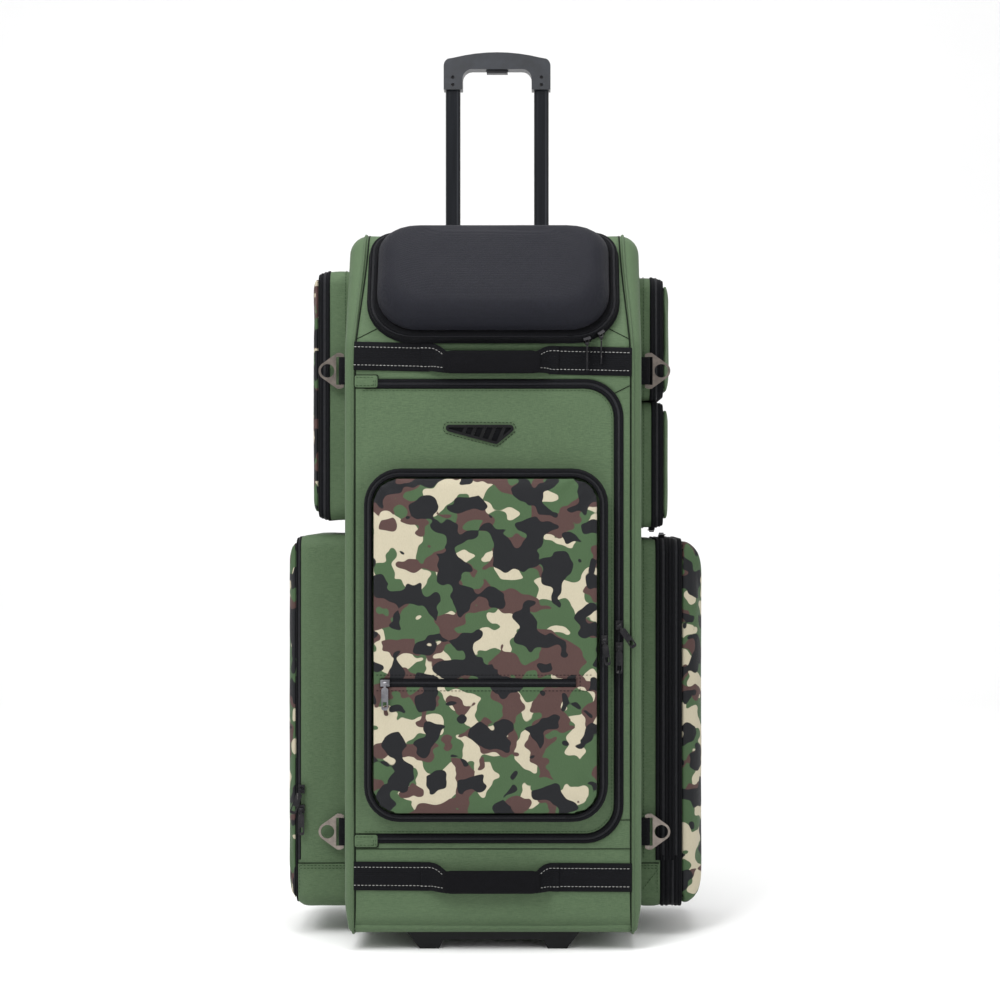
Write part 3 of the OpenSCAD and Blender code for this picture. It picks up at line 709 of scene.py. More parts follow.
def pad(name, outline, thick, edge, crown, place, mat, body, replaces, rings=9, seed=0, wrinkle=0.5, size=45,
        tuck=1.2, loops=None):
    """A stuffed form. outline(d) is its outline inset by d, and place puts (a, b, height) on the bag."""
    half = min(np.ptp(outline(0)[:, 0]), np.ptp(outline(0)[:, 1])) / 2
    if loops is None:
        loops = [(edge * 0.55, 0.0), (tuck * 0.4, thick * 0.14), (0.0, max(thick - edge, thick * 0.3))]
        top = loops[-1][1]
        for a in np.radians([20, 40, 60, 80, 90]):
            loops.append((edge * (1 - math.cos(a)), top + (thick - top) * math.sin(a)))
    loops = list(loops)
    edge = loops[-1][0]
    for k in range(1, rings + 1):
        d = edge + (half - 0.5 - edge) * k / rings
        u = k / rings
        loops.append((d, thick + crown * (1 - (1 - u) ** 2.2)))
    levels = []
    for d, h in loops:
        o = outline(d)
        q = cols(o, h)
        if h > 0:
            q[:, 2] += wrinkle * folds(cols(o, 0), seed, size) * min(1, h / 4)
        levels.append(place(q))
    return loft(name, levels, mat, body, replaces, caps=True)


def puff(obj, pinned, cap, voxel=5.0, last=20):
    """Inflates a pad by cloth simulation. pinned(x, y, z) in millimetres says which points are sewn down."""
    work = obj.copy()
    work.data = obj.data.copy()
    work.modifiers.clear()
    work.parent = None
    bpy.context.scene.collection.objects.link(work)
    remesh = work.modifiers.new("voxels", "REMESH")
    remesh.mode = "VOXEL"
    remesh.voxel_size = voxel * MM
    depsgraph = bpy.context.evaluated_depsgraph_get()
    mesh = bpy.data.meshes.new_from_object(work.evaluated_get(depsgraph))
    work.modifiers.clear()
    work.data = mesh
    rest = np.array([v.co for v in mesh.vertices]) / MM
    held = work.vertex_groups.new(name="held")
    fixed = [i for i, p in enumerate(rest) if pinned(*p)]
    held.add(fixed, 1.0, "ADD")
    cloth = work.modifiers.new("cloth", "CLOTH")
    settings = {"quality": 6, "mass": 0.3, "tension_stiffness": 25, "compression_stiffness": 25,
                "bending_stiffness": 2.0, "use_pressure": True, "uniform_pressure_force": 4.0,
                "vertex_group_mass": "held"}
    for key, value in settings.items():
        setattr(cloth.settings, key, value)
    cloth.settings.effector_weights.gravity = 0
    cloth.point_cache.frame_start = 1
    cloth.point_cache.frame_end = last
    for f in range(1, last + 1):
        bpy.context.scene.frame_set(f)
        work.evaluated_get(bpy.context.evaluated_depsgraph_get()).data
    blown = work.evaluated_get(bpy.context.evaluated_depsgraph_get()).data
    now = np.zeros(len(rest) * 3)
    blown.vertices.foreach_get("co", now)
    move = now.reshape(-1, 3) / MM - rest
    far = np.linalg.norm(move, axis=1)
    move *= (cap * np.tanh(far / cap) / np.maximum(far, 1e-6))[:, None]
    bpy.context.scene.frame_set(1)
    work.modifiers.clear()
    bpy.data.objects.remove(work)
    mesh.vertices.foreach_set("co", ((rest + move) * MM).ravel())
    mesh.materials.clear()
    mesh.materials.append(obj.data.materials[0])
    obj.data = mesh
    mesh.polygons.foreach_set("use_smooth", [True] * len(mesh.polygons))
    sub = obj.modifiers.new("smooth", "SUBSURF")
    sub.levels = sub.render_levels = 1


def lined(obj, inward):
    """Gives the inner face of a pad its black lining."""
    way = Vector(inward)
    deep = max(v.co.dot(way) for v in obj.data.vertices) - 1.5 * MM
    obj.data.materials.append(LINING)
    for p in obj.data.polygons:
        if p.normal.dot(way) > 0.7 and p.center.dot(way) > deep:
            p.material_index = 1


# ---------- the body's pieces ----------

strip("shoulder_and_top", lambda y, z: z > SLOPE_Z - 13 and not (y > BACK - 15 and z < TOP - REAR_CURVE),
      ["top_panel"], seed=2)
BACK_CLOTH = strip("back_cloth", lambda y, z: y > BACK - 0.6 and 149 < z < TOP - REAR_CURVE + 1,
                   ["back_panel"], seed=4, sag=2.5)
strip("base_cloth", lambda y, z: z < BASE + 12.5 or (y > BACK - 0.6 and z < 150), ["base_panel"], COLUMNS,
      marks=((0, WHEEL_FRONT), (1, WHEEL_TOP)), hole=wheel_room, seed=6, sag=0.8)
side_panel(-1, "left_side_panel")
side_panel(1, "right_side_panel")
side_seam(-1)
side_seam(1)
front_frame()

def laid_on(obj, points, lift, side=-1):
    """Lifts points (x, z) just off a piece's front, or off its back where side is 1."""
    mesh = obj.data
    tree = BVHTree.FromPolygons([v.co for v in mesh.vertices], [p.vertices for p in mesh.polygons])
    way = Vector((0, -side, 0))
    ys = [tree.ray_cast(vec(x, side * 400, z), way)[0].y / MM for x, z in points]
    return np.array([(x, y + side * lift, z) for (x, z), y in zip(points, ys)])


def at_slope(x, height, up):
    """A point on the shoulder: height out of the slope and up along it."""
    x, height, up = np.broadcast_arrays(x, height, up)
    return np.stack([x, FRONT - height * math.cos(SLOPE) + up * math.sin(SLOPE),
                     SLOPE_Z + height * math.sin(SLOPE) + up * math.cos(SLOPE)], -1)


def bent(points):
    """A line drawn on the front and the shoulder, from (x, z) points."""
    line = resample(np.array(points, float), 4)
    fine = resample(np.vstack([PROFILE, PROFILE[:1]]), 1.0)
    fine = fine[(fine[:, 0] < SLOPE_TOP_Y) & (fine[:, 1] > BASE)]
    order = np.argsort(fine[:, 1])
    y = np.interp(line[:, 1], fine[order, 1], fine[order, 0])
    return cols(line[:, 0], y - 0.4, line[:, 1])


def front_seam_shadows():
    # Dark strips along the front's seams: painted shadow in the seams.
    out = (0, -1, 0.2)
    for side in (-1, 1):
        seam_shade_line(f"{LABEL[side]}_shoulder_seam_shadow", bent([(side * 187, 826), (side * 146, 848)]), out)
    seam_shade_line("under_flap_seam", bent([(-186, 139), (186, 139)]), IN_FRONT)
    seam_shade_line("upper_corner_seam", bent([(158, 751), (186, 765)]), IN_FRONT)
    seam_shade_line("lower_corner_seam", bent([(160, 178), (186, 178)]), IN_FRONT)


front_seam_shadows()


def back_seams():
    """Two sewn channels down the back, outside the handle's tubes, and a seam between them. The seam lines are
    dark strips of painted shadow; the stitches are green thread.
    """
    out = (0, 1, 0)
    lines = [[(x, 152), (x, TOP - 36)] for x in (-96, 96)] + [[(-95, 560), (95, 560)]]
    for name, line in zip(("left", "right", "middle"), lines):
        seam_shade_line(f"back_{name}_seam", laid_on(BACK_CLOTH, resample(np.array(line, float), 6), 0.1, 1), out)
    rows = [[(x, 152), (x, TOP - 36)] for x in (-101, -91, 91, 101)]
    paths = [laid_on(BACK_CLOTH, resample(np.array(row, float), 6), 0.05, 1) for row in rows]
    stitches("back_stitches", [(path, out, 0, 0) for path in paths], GREEN_THREAD, "bag")


back_seams()


# ---------- zips ----------

def zip_profile(width, coils=(0,), ridges=(), high=1.0):
    """A zip tape's heights, with a coil at each of coils and a fold at each of ridges, and its spans."""
    xs = np.arange(-width / 2, width / 2 + 0.01, 0.6)
    h = high * np.minimum(1, (width / 2 - np.abs(xs)) / 0.8 + 0.2)
    for c in coils:
        h += 0.9 * np.clip(1 - (np.abs(xs - c) / 1.7) ** 2, 0, 1)
    for c, w, up in ridges:
        h += up * np.clip(1 - (np.abs(xs - c) / w) ** 2, 0, 1) ** 0.5
    mid = (xs[:-1] + xs[1:]) / 2
    spans = [1 if any(abs(m - c) < 1.6 for c in coils) else 0 for m in mid]
    return np.column_stack([xs, h]), spans


def zip_strip(name, path, body, width, fold, replaces, high=1.0):
    """A straight zip on the front, with a fold on each side of its coil: (offset, half width, height)."""
    at, half, up = fold
    prof, spans = zip_profile(width, ridges=((-at, half, up), (at, half, up)), high=high)
    sweep(name, path, IN_FRONT, prof, [TAPE, COIL], body, spans=spans, replaces=replaces)


def flap_zip():
    (x0, _, z0), (x1, _, z1) = box_mm("flap_zip")
    w = 6
    line = [(x0, z1 - w), (x1 - w, z1 - w), (x1 - w, z0 + w), (x0, z0 + w)]
    path = resample(rounded(line, [0, 46, 46, 0], closed=False, arc=14), 3)
    zip_strip("flap_zip_band", on_front(path, 0.2), "bag", 12.6, (3.6, 1.6, 1.0), ["flap_zip"])
    for label, z in (("upper", z1 - w + 2.9), ("lower", z0 + w - 2.9)):
        green_tab(f"zip_end_tab_{label}", x0 - 12, z, 31, 16.4)


def green_tab(name, x, z, wide, tall):
    """A folded cloth tab over the zip's end."""
    a, b = wide / 2, tall / 2
    o = lambda d: rrect(x - a + d, z - b + d, x + a - d, z + b - d, [3] * 4, nx=8, nz=6)
    pad(name, o, 2.4, 1.2, 0.4, front_at(FRONT - 1.2), GREEN, "bag", (), rings=4, seed=31, wrinkle=0.2,
        tuck=0.2)
    y = FRONT - 4.0
    lines = [([(x + e, y, z - b + 2), (x + e, y, z + b - 2)], IN_FRONT, 0, 0) for e in (a - 2.4, a - 5.4)]
    lines += [([(x - a + 2, y, z + e), (x + a - 2, y, z + e)], IN_FRONT, 0, 0) for e in (b - 2.6, 2.6 - b)]
    stitches(name + "_stitches", lines, GREEN_THREAD, "bag")
    w, h = a + 0.5, b + 0.5
    corners = [(x - w, z - h), (x + w, z - h), (x + w, z + h), (x - w, z + h)]
    border = resample(rounded(corners, [2] * 4), 2, closed=True)
    sweep(name + "_shadow", on_front(border, 0.6), IN_FRONT, [(-0.7, 0), (-0.4, 0.9), (0.4, 0.9), (0.7, 0)],
          SEAM_SHADE, "bag", closed=True)


flap_zip()


# ---------- flap ----------

def flap():
    (x0, y0, z0), (x1, y1, z1) = box_mm("flap_panel")
    o = lambda d: rrect(x0 + d, z0 + d, x1 - d, z1 - d, [40, 40, 1.5, 1.5], nx=24, nz=44)
    obj = pad("flap_cloth", o, y1 - y0 + 0.2, 2.4, 0.0, front_at(y1), GREEN, "flap", ["flap_panel"], rings=16,
              seed=11, wrinkle=0.7, size=60, tuck=0.2)
    lined(obj, (0, 1, 0))
    # the strip of cloth over the sewn hinge bends from the bag to the flap
    path = np.array([(x0, y0 + 0.2, z) for z in np.arange(z0 + 1, z1, 6)])
    prof = [(u, 0.9 - 0.5 * abs(u) / 6.5) for u in np.linspace(-6.5, 6.5, 11)]
    hinge = sweep("flap_hinge_cloth", path, IN_FRONT, prof, GREEN, None)
    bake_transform(hinge)
    edge = rounded([(x0 + 4, z1 - 3), (x1 - 3, z1 - 3), (x1 - 3, z0 + 3), (x0 + 4, z0 + 3)], [0, 37, 37, 0],
                   closed=False)
    path = np.array([[x, y0 - 0.9, z] for x, z in resample(edge, 2)])
    stitches("flap_edge_stitches", [(path, IN_FRONT, 0, 0)], GREEN_THREAD, "flap")


flap()


def vent():
    """Dark mesh behind the vent's slats, and the stitches round it."""
    y = box_mm("flap_panel")[0][1]
    corners = np.array([(-59, 707), (23, 706.5), (4, 690.5)])

    def line(r):
        way = [np.array((math.cos(a), math.sin(a))) for a in np.linspace(0, 2 * math.pi, 72, endpoint=False)]
        return np.array([corners[int(np.argmax(corners @ w))] + r * w for w in way])

    inner = line(4.0)
    rim = cols(inner[:, 0], y - 0.4, inner[:, 1])
    face = cols(line(3.0)[:, 0], y - 1.2, line(3.0)[:, 1])
    n = len(inner)
    faces = grid_faces(2, n, close_cols=True) + [list(range(n, 2 * n))]
    face_out(add("vent_backing", np.vstack([rim, face]), faces, BINDING, "flap", "black_webbing"))
    border = resample(line(8.0), 2, closed=True)
    path = cols(border[:, 0], y - 1.0, border[:, 1])
    # The vent's stitches are drawn in the same dark green as the painted seam shadow.
    stitches("vent_stitches", [(path, IN_FRONT, 0, 0)], SEAM_SHADE, "flap")


vent()


def box_outline(d):
    (x0, _, z0), (x1, _, z1) = box_mm("box_pocket_zip")
    return rrect(x0 + d, z0 + d, x1 - d, z1 - d, [max(46 - d, 4)] * 4, nx=24, nz=36)


def rim_loft(name, outline, loops, place, body, replaces, coil_spans, seed, closed_top=False):
    """Lofts a zip band's closed outline through (inset, height) steps."""
    pts = np.vstack([cols(outline(d), h) for d, h in loops])
    count = len(outline(0))
    pts[:, 2] += 0.25 * folds(pts, seed, 30) * np.minimum(1, pts[:, 2] / 4)
    faces = grid_faces(len(loops), count, close_cols=True)
    if closed_top:
        faces.append([(len(loops) - 1) * count + k for k in range(count)])
    spans = [1 if i // count in coil_spans else 0 for i in range(len(faces))]
    step = np.linalg.norm(np.diff(outline(0), axis=0, append=outline(0)[:1]), axis=1)
    u = np.r_[0, np.cumsum(step[:-1])]
    v = np.cumsum([0] + [math.hypot(b[0] - a[0], b[1] - a[1]) for a, b in zip(loops[:-1], loops[1:])])
    uv = np.column_stack([np.tile(u, len(loops)), np.repeat(v, count)]) * MM
    return add(name, place(pts), faces, [TAPE, COIL], body, None, replaces, spans, uv)


def box_pocket():
    deep = FRONT - box_mm("box_pocket_zip")[0][1]
    loops = [(-2.6, 0.3), (-2.6, 1.3), (-0.6, 1.9), (0.4, 4), (0.6, 10), (0.1, 16)]
    rim = [(0, -7), (-0.9, -5.5), (-1.2, -3.5), (-0.6, -1.6), (0.6, -0.4), (1.8, 0.2), (3.0, -0.2),
           (3.6, -0.8), (4.4, 0.1), (5.4, 0.1), (6.2, -0.8), (6.8, 0.4), (7.8, 1.2), (9.0, 0.8), (9.6, -1.0)]
    loops += [(d, deep + h) for d, h in rim]
    obj = rim_loft("box_pocket_zip_band", box_outline, loops, front_at(FRONT), "flap", ["box_pocket_zip"],
                   (13, 14, 15), 15)
    thicken(obj, 1.2)


box_pocket()


def box_panel():
    (x0, _, z0), (x1, y1, z1) = box_mm("box_pocket_panel")
    o = lambda d: rrect(x0 + 0.6 + d, z0 + 0.6 + d, x1 - 0.6 - d, z1 - 0.6 - d, [max(38 - d, 3)] * 4, nx=24,
                        nz=36)
    obj = pad("box_pocket_camo_panel", o, 6.6, 4.5, 0.6, front_at(y1), CAMO, "box_front", ["box_pocket_panel"],
              rings=16, seed=12, wrinkle=0.35, size=50)
    puff(obj, lambda x, y, z: y > y1 - 2.5, 2.2)
    lined(obj, (0, 1, 0))
    (sx0, sy0, sz0), (sx1, _, sz1) = box_mm("slit_zip")
    bm = bmesh.new()
    bm.from_mesh(obj.data)
    up, right = Vector((0, 0, 1)), Vector((1, 0, 0))
    cuts = [(up, sz0 - 2), (up, sz0), (up, sz1), (up, sz1 + 2)]
    cuts += [(right, sx0 - 2), (right, sx0), (right, sx1), (right, sx1 + 2)]
    for way, at in cuts:
        geom = bm.verts[:] + bm.edges[:] + bm.faces[:]
        bmesh.ops.bisect_plane(bm, geom=geom, dist=1e-6, plane_co=way * at * MM, plane_no=way)
    for v in bm.verts:
        x, y, z = v.co / MM
        if y < y1 - 3 and sx0 - 0.1 <= x <= sx1 + 0.1 and sz0 - 0.1 <= z <= sz1 + 0.1:
            v.co.y = max(v.co.y, (sy0 + 1.6) * MM)
    bm.to_mesh(obj.data)
    bm.free()
    mid = (sz0 + sz1) / 2
    path = np.array([[x, sy0 + 1.2, mid] for x in np.arange(sx0 + 0.5, sx1, 3)])
    zip_strip("slit_zip_band", path, "box_front", 11.4, (3.4, 1.7, 0.7), ["slit_zip"], 0.4)
    rows = [resample(np.array([(x0 + 8, z), (x1 - 8, z)]), 3) for z in (sz0 - 4.5, sz1 + 4.5)]
    rows.append(resample(np.array([(sx1 + 4, sz0 - 4), (sx1 + 4, sz1 + 4)]), 1.5))
    lines = [(laid_on(obj, row, 0.1), IN_FRONT, 0, 0) for row in rows]
    stitches("slit_zip_stitches", lines, BINDING, "box_front", slot="camo_fabric")


box_panel()


# ---------- moulded case ----------

def case_outline(d):
    inset = min(d, 12) * 0.5 + max(d - 12, 0)
    wide, tight = max(62 - d, 8), max(34 - d, 8)
    return rrect(-170 + d, -2 + inset, 170 - d, 169 - inset, [wide, tight, tight, wide], nx=30, nz=14)


def case_band_place(p):
    """Keeps the band low at its upper edge, where the lid turns on its hinge."""
    return at_slope(p[:, 0], np.where(p[:, 1] > 146, np.minimum(p[:, 2], 11.9), p[:, 2]), p[:, 1])


def case():
    loops = [(-2.2, 0.2), (-2.2, 1.4), (-0.6, 2.2), (0.6, 2.8), (1.2, 5), (1.2, 8.5), (0.2, 10), (0.2, 12),
             (0.9, 13.4), (1.8, 13.9), (3.2, 13.2), (3.8, 12.2), (4.6, 13.1), (6.0, 13.1), (6.8, 12.2),
             (7.4, 13.4), (8.8, 14.2), (10.4, 13.8), (11.6, 12.6), (15, 11.8), (24, 11.6), (25, 10.5),
             (25.5, 4), (28, 2.4)]
    obj = rim_loft("case_zip_band", case_outline, loops, case_band_place, "bag", ["case_zip"], (11, 12, 13),
                   17, closed_top=True)
    thicken(obj, 1.5)
    o = lambda d: rrect(-157.5 + d, 9 + 0.95 * d, 157.5 - d, 163 - 0.45 * d,
                        [56 - 0.2 * d, 34 + 0.4 * d, 34 + 0.4 * d, 56 - 0.2 * d], nx=30, nz=16)
    steps = [(3.0, 0.0), (0.5, 1.2), (0.0, 4.0)]
    turns = np.radians([14, 27, 39, 50, 60, 70, 79, 87])
    steps += [(34 * (1 - math.cos(a)), 4 + 38 * math.sin(a)) for a in turns]
    pad("case_lid_shell", o, 42, 0, 3.2, lambda p: at_slope(p[:, 0], 12.3 + p[:, 2], p[:, 1]), EVA, "case_lid",
        ["case_lid"], seed=18, wrinkle=0.25, size=80, loops=steps)


case()


# ---------- side pockets ----------

ZIP_DEPTH = {"left_upper": 16, "left_lower": 6, "right_upper": 18, "right_middle": 16, "right_lower": 36}
BOOT_DEPTH = {"left_lower": 90, "right_lower": 30}
BOOT_TOP = 102
GREEN_LIDS = ("right_upper", "right_middle")
# How the outer edge of each pocket rounds over: how far in from its face, and how far down from its rim.
ROUNDING = {"left_upper": (26, 20), "left_lower": (30, 27), "right_upper": (24, 22), "right_middle": (20, 17),
            "right_lower": (29, 28)}


def part_of(line, test):
    """The stretch of a closed outline whose points pass the test, in order."""
    ok = test(line)
    if ok.all():
        return np.arange(len(line))
    k = np.roll(np.arange(len(line)), -int(np.argmax(ok & ~np.roll(ok, 1))))
    return k[ok[k]]


def pocket_band(name, side, outline, inset, x0, x1, coils, ridges, test, replaces=()):
    """A zip band round a pocket from x0 to x1, on the part of its outline that passes the test."""
    prof, spans = zip_profile(x1 - x0, coils, ridges, 0.8)
    line = outline(0)
    k = part_of(line, test)
    whole = len(k) == len(line)
    mid = (x0 + x1) / 2
    rings = [cols(side * (mid + u), outline(inset(mid + u) - h)[k]) for u, h in prof]
    step = np.linalg.norm(np.diff(line[k], axis=0, prepend=line[k][:1]), axis=1)
    uv = np.column_stack([np.tile(np.cumsum(step), len(rings)), np.repeat(prof[:, 0], len(k))]) * MM
    faces = grid_faces(len(rings), len(k), close_cols=whole)
    per = len(k) if whole else len(k) - 1
    add(name, np.vstack(rings), faces, [TAPE, COIL], "bag", None, replaces,
        [spans[i // per] for i in range(len(faces))], uv)


def side_pocket(name):
    side = -1 if name.startswith("left") else 1
    lid_lo, lid_hi = box_mm(name + "_lid")
    y0, z0, y1, z1 = lid_lo[1], lid_lo[2], lid_hi[1], lid_hi[2]
    rim = min(abs(lid_lo[0]), abs(lid_hi[0])) - 0.3
    face = max(abs(lid_lo[0]), abs(lid_hi[0])) - 0.8
    zip_x = rim - ZIP_DEPTH[name]
    boot = min(BOOT_DEPTH.get(name, 0), rim - SIDE - 1)
    reach, drop = ROUNDING[name]
    seed = 40 + sum(map(ord, name)) % 50
    tall = int((z1 - z0) / 7)
    outline = lambda d: rrect(y0 + d, z0 + d, y1 - d, z1 - d, [max(20 - d, 2)] * 4, nx=22, nz=tall)
    line = outline(0)
    normals = outline(-1) - line
    outward = cols(0, normals)

    def inset(x):
        t = np.clip((x - face + reach) / reach, 0, 1)
        return drop * (1 - math.sqrt(1 - t * t))

    rings = []
    wall_xs = np.linspace(SIDE - 2, zip_x, max(6, int((zip_x - SIDE) / 5)))
    for x in np.r_[wall_xs, np.linspace(zip_x + 4, rim - 0.4, 4)]:
        t = np.clip((x - SIDE) / max(zip_x - SIDE, 1), 0, 1)
        p = cols(side * x, outline(inset(x)))
        wave = folds(p, seed, 42, (0.8, 2.2, 2.2)) + 0.5 * folds(p, seed + 3, 17, (0.6, 3, 3))
        p[:, 1:] += normals * (math.sin(math.pi * t) * (0.5 + 1.1 * wave))[:, None]
        rings.append(p)
    wall = loft(f"{name}_pocket_wall", rings, GREEN, "bag", [f"{name}_pocket"])
    face_from(wall, vec(side * (SIDE + rim) / 2, (y0 + y1) / 2, (z0 + z1) / 2))
    thicken(wall, 3.0, LINING)

    first = ["side_zips"] if name == "left_upper" else []
    above = (lambda q: q[:, 1] > BOOT_TOP + 0.5) if boot else (lambda q: q[:, 1] > -1)
    w = (rim - zip_x) / 2
    wide = w > 15
    coils, ridges = (0,), ((2.6 - w, 1.9, 1.0), (w - 2.6, 1.9, 1.0)) if w > 5 else ()
    if wide:
        coils, ridges = (-6.5, 11), [(c, 2.2, 1.3) for c in (-15.5, -10, -3, 2, 6.5, 15.5)]
    band = (side, outline, inset)
    pocket_band(f"{name}_pocket_zip", *band, zip_x + 0.2, rim - 0.2, coils, ridges, above, first)
    if wide:
        pocket_band(f"{name}_pocket_zip_foot", *band, SIDE + boot + 0.5, rim - 0.2, (3.2,),
                    [(c, 2.2, 1.3) for c in (-11, -5, 8, 12.5)], lambda q: q[:, 1] < BOOT_TOP + 12)
    cord = cols(side * (rim - 0.6), outline(inset(rim) - 0.3))
    piping(f"{name}_pocket_binding", cord, outward, 1.7, 0.2, BINDING)
    foot = cols(side * (SIDE + 0.9), outline(-0.4))
    piping(f"{name}_pocket_foot_piping", foot, outward, 1.8, 0.4, PIPING)
    if zip_x - SIDE > 14:
        k = part_of(line, lambda q: (q[:, 1] > (BOOT_TOP + 4 if boot else -1)))
        loop = cols(side * (SIDE + 7.5), outline(-1.1)[k])
        stitches(f"{name}_pocket_wall_stitches", [(loop, outward[k], 0, 0)], GREEN_THREAD, "bag")
    if boot:
        pocket_boot(name, side, outline, inset, boot, y0, z0)

    thick = face - rim - 0.3
    loops = [(inset(rim + 0.3) + 2.5, 0.0), (inset(rim + 0.3) + 0.6, thick * 0.1)]
    loops += [(inset(rim + 0.3 + thick * t), thick * t) for t in (0.25, 0.45, 0.62, 0.76, 0.87, 0.95, 1.0)]
    lid = pad(f"{name}_lid_cloth", outline, thick, 0, thick * 0.08 + 1.2,
              lambda p: cols(side * (rim + 0.3 + p[:, 2]), p[:, :2]), GREEN if name in GREEN_LIDS else CAMO,
              f"{name}_lid", [f"{name}_lid"], rings=12, seed=seed + 1, wrinkle=0.8, size=48, loops=loops)
    puff(lid, lambda x, y, z: abs(x) < rim + 1.6, min(3.0, thick * 0.2))
    lined(lid, (-side, 0, 0))
    xs = np.linspace(rim - 9, rim + 6, 16)
    zs = np.arange(z0 + 22, z1 - 21, 6)
    proud = 1.1 - 1.6 * ((xs - rim + 1.5) / 7.5) ** 4
    rows = [cols(side * x, y1 - inset(x) + h, zs) for x, h in zip(xs, proud)]
    hinge = loft(f"{name}_lid_hinge_cloth", rows, BINDING, None, closed=False)
    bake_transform(hinge)


def pocket_boot(name, side, outline, inset, boot, y0, z0):
    """The cloth boot round a tall pocket's foot."""
    line = outline(0)
    k = part_of(line, lambda q: q[:, 1] < BOOT_TOP)
    us = np.linspace(0, boot - 0.6, max(5, int(boot / 6)))
    rings = []
    for i, u in enumerate(us):
        rise = 1.8 if 0 < i < len(us) - 1 else 0.6
        ring = outline(inset(SIDE + 0.4 + u) - rise)[k]
        ring = np.vstack([(ring[0, 0], BOOT_TOP), ring, (ring[-1, 0], BOOT_TOP)])
        p = cols(side * (SIDE + 0.4 + u), ring)
        p[1:-1, 1:] += (outline(-1) - line)[k] * (0.5 * folds(p[1:-1], 77, 24))[:, None]
        rings.append(p)
    loft(f"{name}_pocket_boot", rings, GREEN, "bag", closed=False)
    y = y0 - 2.5
    a, b = SIDE + 3, SIDE + boot - 3.5
    rows = [([(side * a, y, BOOT_TOP - d), (side * b, y, BOOT_TOP - d)], IN_FRONT, 0, 0) for d in (3, 7)]
    rows.append(([(side * b, y, BOOT_TOP - 3), (side * b, y, z0 + 20)], IN_FRONT, 0, 0))
    if boot < 50:
        rows.append(([(side * a, y, BOOT_TOP - 40), (side * b, y, BOOT_TOP - 10)], IN_FRONT, 0, 0))
    stitches(f"{name}_pocket_boot_stitches", rows, GREEN_THREAD, "bag")
    # A dark strip along the boot's hem: painted shadow under the hem.
    hem = [(side * (SIDE + 1), y + 0.9, BOOT_TOP), (side * (SIDE + boot - 1), y + 0.9, BOOT_TOP)]
    seam_shade_line(f"{name}_pocket_boot_hem_shadow", resample(np.array(hem), 4), IN_FRONT, width=1.6)


def face_from(obj, centre):
    """Turns an open shell's faces away from a point."""
    bm = bmesh.new()
    bm.from_mesh(obj.data)
    bm.normal_update()
    score = sum((f.calc_center_median() - centre).dot(f.normal) * f.calc_area() for f in bm.faces)
    if score < 0:
        bmesh.ops.reverse_faces(bm, faces=bm.faces)
    bm.to_mesh(obj.data)
    bm.free()


for pocket in ZIP_DEPTH:
    side_pocket(pocket)


# ---------- webbing ----------

def band_profile(tall, thick):
    w = tall / 2
    half = [(w, 0), (w, thick * 0.6), (w - 0.9, thick), (w * 0.5, thick + 0.12)]
    return [(-u, h) for u, h in half] + [(0, thick)] + half[::-1]


def grab(label):
    (_, _, low), (_, _, high) = box_mm("grab_straps")
    z = (high - 19.5) if label == "upper" else (low + 19.5)
    (_, hy0, hz0), (_, _, hz1) = box_mm(f"{label}_grab_handle")
    tilt = 0.022 if label == "upper" else 0.006
    level = lambda x: z - tilt * x
    sleeve_z = (hz0 + hz1) / 2
    for side, a, b in (("left", -187.5, -85), ("right", 76, 187.5)):
        path = np.array([[x, FRONT - 0.5, level(x)] for x in np.linspace(a, b, 26)])
        first = label == "upper" and side == "left"
        sweep(f"{label}_{side}_strap", path, IN_FRONT, band_profile(38.5, 2.0), WEBBING, "bag",
              replaces=["grab_straps"] if first else ())
        lines = [(path, IN_FRONT, e, 2.35) for e in (-12.2, 12.2)]
        stitches(f"{label}_{side}_strap_stitches", lines, THREAD, "bag")
        # the loose webbing between the strap and the sleeve
        x_flat, x_bend, x_sleeve = (-97, -86, -62) if side == "left" else (89, 79, 59)
        xs = x_flat + (x_sleeve - x_flat) * np.linspace(0, 1, 20)
        swing = ease((xs - x_bend) / (x_sleeve - x_bend), 0, 1)
        mids = cols(xs, FRONT - 3.0 + (hy0 + 5.5 - FRONT + 3.0) * swing,
                    level(xs) * (1 - swing) + sleeve_z * swing)
        half = 19.2 - 4.7 * swing
        _, up, across = frames(mids, IN_FRONT)
        rows = [mids + across * (u * half)[:, None] + up * h
                for u, h in ((-1, -0.9), (-1, 0.3), (-0.94, 1.0), (-0.5, 1.15), (0, 1.0), (0.5, 1.15),
                             (0.94, 1.0), (1, 0.3), (1, -0.9))]
        riser = loft(f"{label}_{side}_riser", list(np.stack(rows, 1)), WEBBING, None, caps=True)
        start, end = vec(x_bend, FRONT, z), vec(x_sleeve, FRONT, z)
        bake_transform(riser)
        rows = [(mids + across * (e * (half - 6.6))[:, None] + up * 1.35, up, 0, 0) for e in (-1, 1)]
        sew = stitches(f"{label}_{side}_riser_stitches", rows, THREAD, None)
        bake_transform(sew)
    # the padded sleeve
    x0, x1 = -67, 64
    a = np.linspace(0, 2 * math.pi, 28, endpoint=False)
    c, s = np.cos(a), np.sin(a)
    rings = []
    for x in np.linspace(x0, x1, 60):
        e = min(x - x0, x1 - x)
        end = 1 - 0.22 * math.exp(-e / 2.2)
        cuff = 0.7 * math.exp(-((e - 7) / 1.6) ** 2)
        zz = np.sign(c) * np.abs(c) ** 0.55 * ((hz1 - hz0) / 2 - cuff) * end
        yy = np.sign(s) * np.abs(s) ** 0.7 * (5.0 - cuff * 0.5) * end
        p = cols(x, hy0 + 5 + yy, sleeve_z + zz)
        p[:, 1] += 0.5 * folds(p, 21, 22, (0.7, 1, 1))
        rings.append(p)
    body = f"{label}_grab_handle"
    loft(f"{label}_grab_sleeve", rings, SLEEVE, body, [body], caps=True)


grab("upper")
grab("lower")


